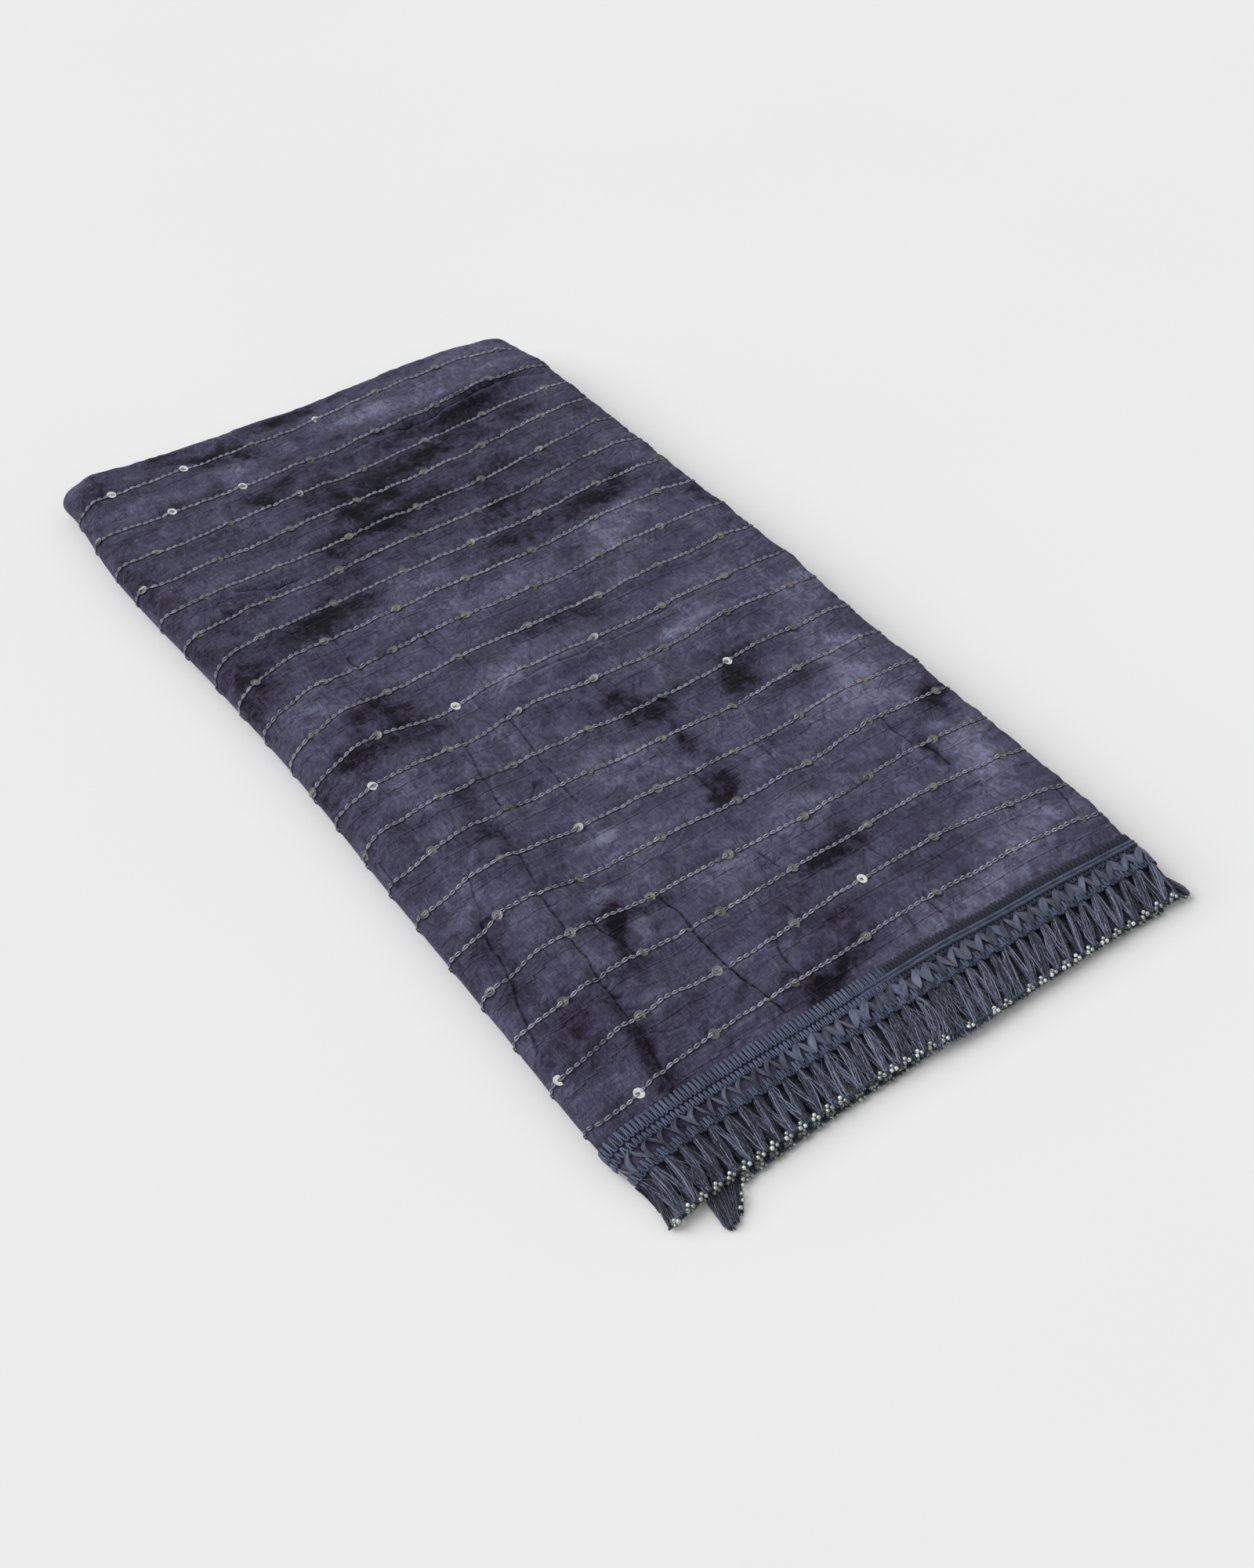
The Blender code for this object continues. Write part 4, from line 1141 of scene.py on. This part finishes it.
def wide_braid(bundle):
    """Two bands of loops, the upper one narrower where it is turned under; painted shade where turned
    under, and painted light on the middle of each loop.
    """
    # How far each band narrows, and how much painted shade it gets, where the braid is turned under
    bands = ((UPPER_BRAID, "high", 0.24, 0.80), (LOWER_BRAID, "low", 0.40, 0.36))
    for seed, (shape, still, narrowing, turned_shade) in enumerate(bands):
        s, y = meander(shape, 14)
        middle, half = (shape["high"] + shape["low"]) / 2, (shape["high"] - shape["low"]) / 2
        near = 1 - ((y - middle) / half) ** 2
        turned = turned_at(s, y)
        y = shape[still] + (y - shape[still]) * (1 - narrowing * turned)
        s = s + 0.16 * noise(s / 3, y / 3, 51 + seed)
        # Painted light on the middle of each loop, and painted shade where the braid is turned under
        tone = 0.42 + 0.28 * near * (1 - turned) - turned_shade * turned
        tone = tone + 0.25 * noise(s / 2.2, s / 40, 54 + seed)
        y = y + 0.22 * noise(s / 2.4, s / 31, 57 + seed)
        lace_cord(bundle, s, y, 0.3 + 0.3 * near - 0.5 * turned, shape["cord"], tone=tone)


def lace_braids():
    """The wide braid of two bands of loops along the cloth, and the narrow scalloped one by the fringe."""
    bundle = Bundle()
    wide_braid(bundle)
    run = np.linspace(0, LACE_WHOLE, 900)
    weave = 0.16 * np.sin(2 * np.pi * run / 1.15)
    lace_cord(bundle, run, BRAID_SEAM + weave, 0.15, 0.22, 5, 0.05)
    turned_strip(bundle)
    s, y = meander(SCALLOP, 12, -SCALLOP_RISE)
    cap = -np.cos(2 * np.pi * s / LACE_PITCH)
    # The caps, which stand higher, are painted lighter: painted light
    tone = 0.42 + 0.25 * cap + 0.2 * noise(s / 1.9, s / 50, 59)
    lace_cord(bundle, s, y + 0.2 * noise(s / 2, y / 2, 52), 0.5 + 0.2 * cap, SCALLOP["cord"], tone=tone)
    line = (SCALLOP["high"] + SCALLOP["low"]) / 2 - SCALLOP_RISE * np.cos(2 * np.pi * run / LACE_PITCH)
    lace_cord(bundle, run, line + 0.12 * noise(run / 2, run / 5, 53), 0.1, 0.45, 5, 0.0)
    bundle.finish("lace_braids", GIMP, "lace")


def ribbon_leg(bundle, rng, k, way):
    """One leg of the ribbon: way 0 runs down straight, and way 1 comes back bowed and fuller."""
    along, across = np.linspace(0, 1, 15), np.linspace(-1, 1, 7)
    high, low = ZIGZAG["high"], ZIGZAG["low"]
    foot, tip = (k + way) * LACE_PITCH, (k + 0.5) * LACE_PITCH + rng.normal(0, 0.4)
    filled = blend((float(lace_u(tip / LACE_WHOLE, np.array(low))) - ZIGZAG["wider_past"]) / ZIGZAG["over"])
    full = ZIGZAG["narrow"] + (ZIGZAG["wide"] - ZIGZAG["narrow"]) * filled
    run = math.hypot(tip - foot, low - high)
    ds, dy = (tip - foot) / run, (low - high) / run
    belly = arch(along ** rng.uniform(0.6, 1.5))
    half = full * rng.uniform(0.75, 1.25) * (0.40 + 0.60 * belly)
    twist = rng.normal(0, 0.35) + rng.choice((-1, 1)) * rng.uniform(0.3, 1.3) * (along - 0.5)
    bow = (rng.normal(0.0, 0.5) + (2 * way - 1) * (1.5 - 0.9 * filled) * way) * arch(along)
    reach = half[:, None] * across
    pleat = 0.22 * np.sin(across * rng.uniform(4, 9) + rng.uniform(0, 6))
    flat, rise = reach * np.cos(twist)[:, None] + bow[:, None], reach * np.sin(twist)[:, None]
    s = foot + (tip - foot) * along[:, None] - dy * flat
    y = low + (high - low) * along[:, None] - ds * flat
    lift = 0.5 + 0.4 * arch(along)[:, None] + rise * 0.8 + 0.3 * way + pleat
    lift = lift * (1 - 0.7 * blend((s - LACE_WHOLE + 12) / 8))
    tone = rng.uniform(0.1, 0.75) - 0.35 * np.abs(across) ** 3
    uv = (along * run + 11.0 * len(bundle.points), across * 1.7)
    bundle.grid(lace_at(np.clip(s, 0, LACE_WHOLE), y, lift), uv, tone=tone)


def zigzag_ribbon():
    """Flat ribbon that runs to and fro between the braids."""
    bundle = Bundle()
    rng = np.random.default_rng(61)
    for k in range(LACE_REPEATS):
        for way in (0, 1):
            ribbon_leg(bundle, rng, k, way)
    bundle.finish("zigzag_ribbon", RIBBON, "lace")


def lock_shape(t):
    """y, centre, half width, depth and thickness of a lock at shares t of its length."""
    keys = np.linspace(0, 1, len(LOCK["y"]))
    return {name: curve(keys, LOCK[name], t) for name in LOCK}


def fringe_backing(bundle, place, repeats, dark, seed):
    """A dark sheet of threads that closes the gaps between the roots of the locks: painted shade for the
    shaded hollow there.
    """
    run = np.linspace(0, repeats * LACE_PITCH, repeats * 6)
    across = np.linspace(BACKING_HIGH, BACKING_LOW, 5)
    s, y = np.meshgrid(run, across, indexing="ij")
    sag = -2.1 - 0.5 * np.abs(noise(s / 1.6, y / 9, seed))
    # Painted shade: the backing is kept dark
    tone = 0.3 * dark + 0.05 + 0.1 * noise(s / 0.9, y / 14, seed)
    bundle.grid(place(s, y, sag), (run, across), tone=tone)


def one_lock(rng, t, k, way, broad, fray):
    """A lock's line, width and depth, one of the two of repeat k."""
    shape = lock_shape(t)
    middle = (k + 0.5) * LACE_PITCH
    loose = float(fray(middle + 3 * way)) if fray else 0.0
    bend = rng.normal(0, 0.35 + 1.2 * loose)
    reach = rng.uniform(-0.4, 0.4)
    width = shape["half_width"] * (broad * rng.uniform(0.85, 1.1) + 0.5 * loose * t)
    centre = middle + way * shape["centre"] + SKEW * t + bend * arch(t)
    # The lock of way -1 lies lower, behind the other, and gets painted shade
    behind = 0.5 if way < 0 else 0.0
    under = -shape["top"] - shape["thick"]
    return {
        "t": t, "loose": loose, "width": width, "centre": centre, "y": shape["y"] + reach * t,
        "thick": shape["thick"], "high": -shape["top"] - shape["thick"] / 2 - behind, "lowest": under - 0.5,
        "own": rng.uniform(0.25, 0.5) - 0.3 * behind,
    }


def lock_core(bundle, place, lock, dark, bright):
    """The full core of a lock, with painted shade along its flanks and towards its ends."""
    t, ring = lock["t"], np.arange(CORE_SIDES) * 2 * np.pi / CORE_SIDES
    s = lock["centre"][:, None] + (0.92 - 0.5 * lock["loose"]) * lock["width"][:, None] * np.cos(ring)
    lift = lock["high"][:, None] + 0.42 * lock["thick"][:, None] * np.sin(ring)
    # Painted shade along the flanks, and towards the ends, most at the root
    tone = dark + (bright - dark) * (lock["own"] - 0.4 * np.abs(np.cos(ring)) ** 4)
    tone = tone * (0.5 + 0.5 * arch(np.clip(t, 0.1, 0.8)))[:, None]
    number = len(bundle.points)
    uv = (19 * t + 23.0 * number, np.arange(CORE_SIDES + 1.0) + 3.7 * number)
    bundle.grid(place(s, lock["y"][:, None], lift), uv, tone=tone, ring_columns=True)


def lock_thread(bundle, place, rng, lock, far, dark, bright):
    """A single thread along a lock, at a share far of its half width."""
    t, loose = lock["t"], lock["loose"]
    bulge = math.sqrt(1 - far * far) * rng.choice((1.15, 1.0, 0.6))
    wave = rng.normal(0, 0.34 + 0.6 * loose) * arch(t * rng.uniform(0.8, 3.5))
    wave += rng.uniform(0.05, 0.16) * np.sin(t * rng.uniform(26, 40) + rng.uniform(0, 6))
    s = lock["centre"] + 0.98 * far * lock["width"] + wave + rng.normal(0, 0.15 + 1.3 * loose) * t**3
    lift = lock["high"] + 0.5 * lock["thick"] * bulge + 0.1 * rng.normal()
    y = lock["y"] - t * rng.uniform(-0.4, 0.5 + 3.4 * loose)
    path = place(s, y, np.maximum(lift, lock["lowest"]))
    shine = rng.choice((0.0, 0.3, 0.65, 1.2), p=(0.3, 0.25, 0.25, 0.2))
    up = np.array((0.0, 0.0, 1.0))
    bundle.tube(path, rng.uniform(0.15, 0.24) * MM, 3, up, tone=dark + (bright - dark) * shine)


def fringe(name, place, repeats, strands, seed, replaces=(), fray=None, tones=(0.0, 0.95), steps=14):
    """Two locks of shining thread to a repeat, parting like legs, each a core with threads round it."""
    bundle = Bundle()
    rng = np.random.default_rng(seed)
    t = np.linspace(0, 1, steps)
    fringe_backing(bundle, place, repeats, tones[0], seed)
    for k in range(repeats):
        for way, broad in ((-1, 0.85), (1, 1.12)):
            lock = one_lock(rng, t, k, way, broad, fray)
            lock_core(bundle, place, lock, *tones)
            count = int(strands * broad * (1 + 0.25 * lock["loose"]))
            for far in rng.permutation((np.arange(count) + 0.5) / count * 2 - 1):
                lock_thread(bundle, place, rng, lock, far, *tones)
    bundle.finish(name, RAYON, "fringe", replaces)


BEAD_RADIUS, BEAD_SIDES = 0.93, 10
BEAD_SECTION = table(
    "out along",
    (0.35, -0.62), (0.72, -0.80), (0.96, -0.38), (0.96, 0.38), (0.72, 0.80), (0.35, 0.62),
)
# The beads of one group, along and across from its middle
CLUSTER = table("along across", (-0.1, 1.0), (-1.3, -0.55), (1.25, -0.5))


def bead(bundle, centre, along, radius, tone):
    """A round-edged ring of glass with its hole along a direction."""
    along = Vector(along).normalized()
    side = along.cross(Vector((0, 0, 1))).normalized()
    top = side.cross(along)
    ring = np.arange(BEAD_SIDES) * 2 * np.pi / BEAD_SIDES
    flat = np.cos(ring)[:, None, None] * np.array(side) + np.sin(ring)[:, None, None] * np.array(top)
    points = flat * BEAD_SECTION["out"][:, None] + np.array(along) * BEAD_SECTION["along"][:, None]
    bundle.grid(np.array(centre) + radius * MM * points, tone=tone, ring_rows=True, ring_columns=True)


THREAD_TWIST = 2.6            # length of a turn of the beads' thread


def beaded_edge(name, place, repeats, seed, drop, replaces=(), skip=None, bright=(0.35, 1.0)):
    """Clusters of small glass beads, one below each pair of locks, on a twisted thread."""
    beads, cord = Bundle(), Bundle()
    rng = np.random.default_rng(seed)
    y, lift = BEAD_EDGE - 0.1, drop - 0.5
    for k in range(repeats):
        middle = (k + 0.5) * LACE_PITCH + SKEW + rng.normal(0, 0.2)
        if skip and rng.uniform() < float(skip(middle)):
            continue
        for spot in each(CLUSTER):
            s = middle + spot["along"] + rng.normal(0, 0.12)
            across = y + spot["across"] + rng.normal(0, 0.12)
            centre = place(np.array(s), np.array(across), np.array(lift + rng.uniform(0, 0.4)))
            lean = (1.0, rng.normal(0, 0.5), rng.normal(0, 0.3))
            bead(beads, centre, lean, BEAD_RADIUS * rng.uniform(0.88, 1.08), rng.uniform(*bright))
    run = np.linspace(0, repeats * LACE_PITCH, repeats * 12)
    tone = 0.45 + 0.3 * noise(run / 1.7, run / 9, 131)
    for phase, radius in ((0.0, 0.34), (np.pi, 0.30)):
        turn = 2 * np.pi * run / THREAD_TWIST + phase
        path = place(run, y + 0.1 + 0.35 * np.sin(turn), lift - 0.1 + 0.35 * np.cos(turn))
        cord.tube(path, radius * MM, 5, np.array((0.0, 0.0, 1.0)), tone=tone)
    beads.finish(name, BEAD, "beads", replaces)
    cord.finish(name + "_thread", EDGE_THREAD, "beads")


# The laces below: the lowest lies on the floor, and two inner ones lie at shares of the packet's height
LOWER_WAVE = table(
    "x shift",
    (-104, -3.4), (-78, -2.6), (-53, -2.0), (-15, -1.4), (20, 0.8), (90, 1.4), (122, -1.2), (132, -2.2),
)
LOWER_LEFT, LOWER_RIGHT = -104.5, 133.0
LOWER_TOP = table("y height", (-267.0, 1.6), (-257.5, 2.6), (-246.9, 2.3))
FRINGE_BACK = -246.9
FLOOR_CLEAR = 0.25


def lower_at(s, y, lift):
    """Place in metres on the lower lace, which lies on the floor; s runs from its left end."""
    s, y, lift = (np.array(a, float) for a in np.broadcast_arrays(s, y, lift))
    x = LOWER_LEFT + s
    high = read(LOWER_TOP, "y", "height", y) + 0.7 * lift
    shift = read(LOWER_WAVE, "x", "shift", x) * blend((FRINGE_BACK - y) / (FRINGE_BACK - BEAD_EDGE))
    return settle(x, y + shift, np.maximum(high, FLOOR_CLEAR))


INNER_LEFT, INNER_RIGHT = -142.5, 143.0
INNER_SHARES, INNER_BEADS_SHARE = (0.70, 0.42), 0.5


def inner_at(share):
    """Places on the lace of an inner ply, at a share of the packet's height; s runs from its left end."""
    def place(s, y, lift):
        s, y, lift = (np.array(a, float) for a in np.broadcast_arrays(s, y, lift))
        high = share * read(OUTLINE, "y", "height", y) + 0.6 * lift
        return settle(INNER_LEFT + s, y, np.maximum(high, FLOOR_CLEAR))

    return place


TUFT_LOCKS = table(
    "root_x tip_x tip_y",
    (-118.0, -120.6, -280.4),
    (-115.4, -119.4, -281.2),
    (-112.8, -118.2, -281.6),
    (-110.2, -117.0, -281.0),
    (-107.6, -115.8, -280.8),
    (-105.0, -114.6, -280.0),
    (-102.0, -113.2, -279.0),
    (-99.0, -111.8, -278.0),
)
TUFT_ROOT, TUFT_STRANDS = -246.8, 34
TUFT_BEADS = ((-108.6, -275.6), (-107.2, -273.2), (-104.6, -270.6), (-103.0, -268.6), (-111.4, -277.4))


def fringe_tuft():
    """Locks of a lower ply that have slipped out in front, drawn together at their ragged end."""
    bundle, beads = Bundle(), Bundle()
    rng = np.random.default_rng(91)
    t = np.linspace(0, 1, 9)
    up = np.array((0.0, 0.0, 1.0))
    for lock in each(TUFT_LOCKS):
        for n in range(TUFT_STRANDS):
            root = lock["root_x"] + rng.normal(0, 0.8)
            tip = lock["tip_x"] + rng.normal(0, 0.5)
            x = root + (tip - root) * t**1.7 + rng.normal(0, 0.8) * arch(t)
            y = TUFT_ROOT + (lock["tip_y"] - rng.uniform(-3.0, 0.8) - TUFT_ROOT) * t
            z = np.maximum(1.7 + rng.normal(0, 0.6) + 0.3 * np.sin(5 * t + n) - 0.5 * t, FLOOR_CLEAR)
            bundle.tube(settle(x, y, z), rng.uniform(0.16, 0.26) * MM, 3, up, tone=rng.uniform(0.0, 0.6))
    for x, y in TUFT_BEADS:
        centre = settle(np.array(x), np.array(y), np.array(2.6))
        bead(beads, centre, (1.0, rng.normal(0, 0.5), 0.2), BEAD_RADIUS, rng.uniform(0.3, 0.8))
    bundle.finish("fringe_tuft_threads", RAYON, "fringe", ["fringe_tuft"])
    beads.finish("tuft_beads", BEAD, "beads")


STRAY_THREADS, STRAY_ANYWHERE = 90, 50    # the others are in the frayed middle
STRAY_ROOTS, STRAY_LENGTHS = (-252, -246), (9, 21)


def stray_threads():
    """Single threads that have worked loose along the fringe and the braid."""
    bundle = Bundle()
    rng = np.random.default_rng(101)
    t = np.linspace(0, 1, 12)
    up = np.array((0.0, 0.0, 1.0))
    for n in range(STRAY_THREADS):
        s0 = rng.uniform(2, LACE_WHOLE - 2) if n < STRAY_ANYWHERE else LACE_WHOLE * rng.normal(0.47, 0.06)
        lean = rng.normal(0, 4.0)
        y0, length = rng.uniform(*STRAY_ROOTS), rng.uniform(*STRAY_LENGTHS)
        s = s0 + lean * t + rng.normal(0, 1.0) * arch(t) + rng.normal(0, 0.5) * arch(3 * t)
        lift = 0.3 + rng.uniform(0.2, 1.2) * arch(t) - 0.8 * t
        path = lace_at(np.clip(s, 0, LACE_WHOLE), y0 - length * t, lift)
        bundle.tube(path, rng.uniform(0.05, 0.09) * MM, 3, up, tone=rng.uniform(0.6, 1.0))
    bundle.finish("stray_threads", RAYON, "fringe")


# The plies inside

SIDE_PLIES, SIDE_LOWEST, SIDE_DEEP, SIDE_FRONT = 7, 1.4, 24.0, -242.0
BACK_FOLDS, BACK_LOWEST, BACK_HIGHEST, BACK_DEEP = 6, 3.4, 13.6, 12.0
BACK_FROM, BACK_TO = -147.0, 142.0
BACK_LEFT, BACK_RIGHT = -139.0, 136.0    # x goes no further than these
DYE_APART = 400.0             # the plies inside take their dye from this far along
HALF_TURN = np.linspace(-np.pi / 2, np.pi / 2, 7)


def layers(low, high, count):
    """Number, lower side, middle, half thickness and upper side of each equal layer of a stack."""
    for k in range(count):
        below, above = low + (high - low) * k / count, low + (high - low) * (k + 1) / count
        yield k, below, (below + above) / 2, (above - below) / 2, above


def side_plies(bundle):
    """Layered edges down the right side, under the gap between the two folds."""
    y = np.linspace(SIDE_FRONT, CLOTH_BACK - 1.2, 260)
    s = Section(y)
    inside = (s.right - SIDE_DEEP)[:, None]
    for k, below, middle, half, above in layers(SIDE_LOWEST, s.high / 2 - SLIT / 2, SIDE_PLIES):
        inset = 1.6 + 1.3 * noise(y / 40, np.full_like(y, k * 1.37), 111)
        inset = np.clip(inset + 0.5 * noise(y / 9, np.full_like(y, k), 112), 0.5, 3.2)
        edge = (s.right - inset)[:, None] - half[:, None] * (1 - np.cos(HALF_TURN))
        x = np.concatenate([inside, edge, inside], 1)
        z = middle[:, None] + half[:, None] * np.sin(HALF_TURN)
        z = np.concatenate([below[:, None], z, above[:, None]], 1)
        rows = np.broadcast_to(y[:, None], x.shape)
        bundle.grid(settle(x, rows, z), np.stack([x + 4 * z, rows], -1), tone=0.5)


def back_folds(bundle):
    """Nested folds at the back."""
    u = np.linspace(BACK_FROM, BACK_TO, 200)
    for k, below, middle, half, _ in layers(BACK_LOWEST, BACK_HIGHEST, BACK_FOLDS):
        back = CLOTH_BACK - 1.6 + 0.9 * noise(u / 30, np.full_like(u, k * 1.9), 113)
        inside = np.full((len(u), 1), back.min() - BACK_DEEP)
        y = np.concatenate([inside, back[:, None] - half * (1 - np.cos(HALF_TURN))], 1)
        z = np.broadcast_to(np.concatenate([[below], middle + half * np.sin(HALF_TURN)]), y.shape)
        x = np.broadcast_to(np.clip(u, BACK_LEFT, BACK_RIGHT)[:, None], y.shape)
        bundle.grid(settle(x, y, z), np.stack([x, y], -1), tone=0.5)


def hidden_plies():
    """The plies inside the outer one."""
    bundle = Bundle()
    side_plies(bundle)
    back_folds(bundle)
    obj = bundle.finish("hidden_plies", CLOTH, "cloth", ["hidden_layers"])
    x, y = np.concatenate(bundle.points)[:, :2].T / MM
    none = np.zeros_like(x)
    shade_cloth(obj, dye_at(x + DYE_APART, y), none, none + NO_CREASE, none + NO_ROW)


def sheet_size():
    """Width and length of the cut of the outer ply, all round."""
    s = Section(np.array(0.0))
    top, floor = s.right_end - s.left_end, s.right - SELVEDGE_INSET - s.left_end
    width = TUCK + s.right_arc + top + s.left_arc + floor
    length = CLOTH_BACK - CLOTH_FRONT + RETURN + (math.pi - 1) * NOSE
    return width, length


def build():
    cloth = outer_cloth()
    hidden_plies()
    chain_stitch("chain_stitch_back", range(10), 201)
    chain_stitch("chain_stitch_front", range(10, 20), 202)
    sequins()
    lace_ground()
    lace_braids()
    zigzag_ribbon()
    lower = int((LOWER_RIGHT - LOWER_LEFT) // LACE_PITCH)
    inner = int((INNER_RIGHT - INNER_LEFT) // LACE_PITCH)
    fringe("fringe_threads", lace_at, LACE_REPEATS, 17, 301, ["fringe_top"], frayed)
    # The lower and inner fringes are the same lace as the top one, given darker tones as painted shade
    fringe("lower_fringe_threads", lower_at, lower, 12, 302, ["fringe_lower"], tones=(0.0, 0.5), steps=11)
    for k, share in enumerate(INNER_SHARES):
        name = f"inner_fringe_threads_{k + 1}"
        fringe(name, inner_at(share), inner, 11, 303 + k, tones=(0.0, 0.4), steps=9)
    beaded_edge("edge_beads", lace_at, LACE_REPEATS, 401, 0.0, ["bead_cord_top"], beads_lost)
    # The lower and inner beads are given lower tones as painted shade
    beaded_edge("lower_edge_beads", lower_at, lower, 402, 0.4, ["bead_cord_lower"], bright=(0.1, 0.6))
    beaded_edge("inner_edge_beads", inner_at(INNER_BEADS_SHARE), inner, 403, 0.0, bright=(0.1, 0.6))
    fringe_tuft()
    stray_threads()
    width, length = sheet_size()


# Stage, light and camera

CAMERA_AT = (-367.94, -543.05, 603.72)
AZIMUTH, ELEVATION, ROLL = -36.64, 45.42, 1.18
LENS = 41.44
FLOOR_TONES = ((0.0, (0.80, 0.80, 0.80)), (1.0, (0.815, 0.815, 0.815)))
SKY_STRENGTH = 0.50
KEY_AT, KEY_ANGLE, KEY_ENERGY = (-1.15, 0.95, 0.98), 58.0, 3.12


def stage():
    """A pale floor under even light, with a soft key from the left."""
    bpy.ops.mesh.primitive_plane_add(size=8.0, location=(0, 0, 0))
    floor = bpy.context.object
    floor.name = "floor"
    look = Look("floor", roughness=0.9, specular_ior_level=0.1)
    uneven = look.noise(look.node("NewGeometry").outputs["Position"], 3.0)
    look.paint(look.ramp(uneven, *FLOOR_TONES))
    floor.data.materials.append(look.material)
    world = bpy.data.worlds.new("world")
    world.use_nodes = True
    world.node_tree.nodes["Background"].inputs["Color"].default_value = (1.0, 1.0, 1.0, 1.0)
    world.node_tree.nodes["Background"].inputs["Strength"].default_value = SKY_STRENGTH
    bpy.context.scene.world = world
    key = bpy.data.objects.new("key", bpy.data.lights.new("key", "SUN"))
    key.data.angle = math.radians(KEY_ANGLE)
    key.data.energy = KEY_ENERGY
    key.location = KEY_AT
    key.rotation_euler = (-key.location).to_track_quat("-Z", "Y").to_euler()
    bpy.context.scene.collection.objects.link(key)
    bpy.context.scene.view_settings.view_transform = "Standard"


def camera():
    """The photograph's viewpoint."""
    az, el, roll = (math.radians(a) for a in (AZIMUTH, ELEVATION, ROLL))
    back = Vector((math.sin(az) * math.cos(el), -math.cos(az) * math.cos(el), math.sin(el)))
    right = (-back).cross(Vector((0, 0, 1))).normalized()
    up = right.cross(-back)
    across = right * math.cos(roll) + up * math.sin(roll)
    above = up * math.cos(roll) - right * math.sin(roll)
    data = bpy.data.cameras.new("camera")
    data.lens = LENS
    data.clip_start = 0.01
    obj = bpy.data.objects.new("camera", data)
    turned = Matrix((across, above, back)).transposed().to_4x4()
    obj.matrix_world = Matrix.Translation(Vector(CAMERA_AT) * MM) @ turned
    bpy.context.scene.collection.objects.link(obj)
    bpy.context.scene.camera = obj


build()
stage()
camera()
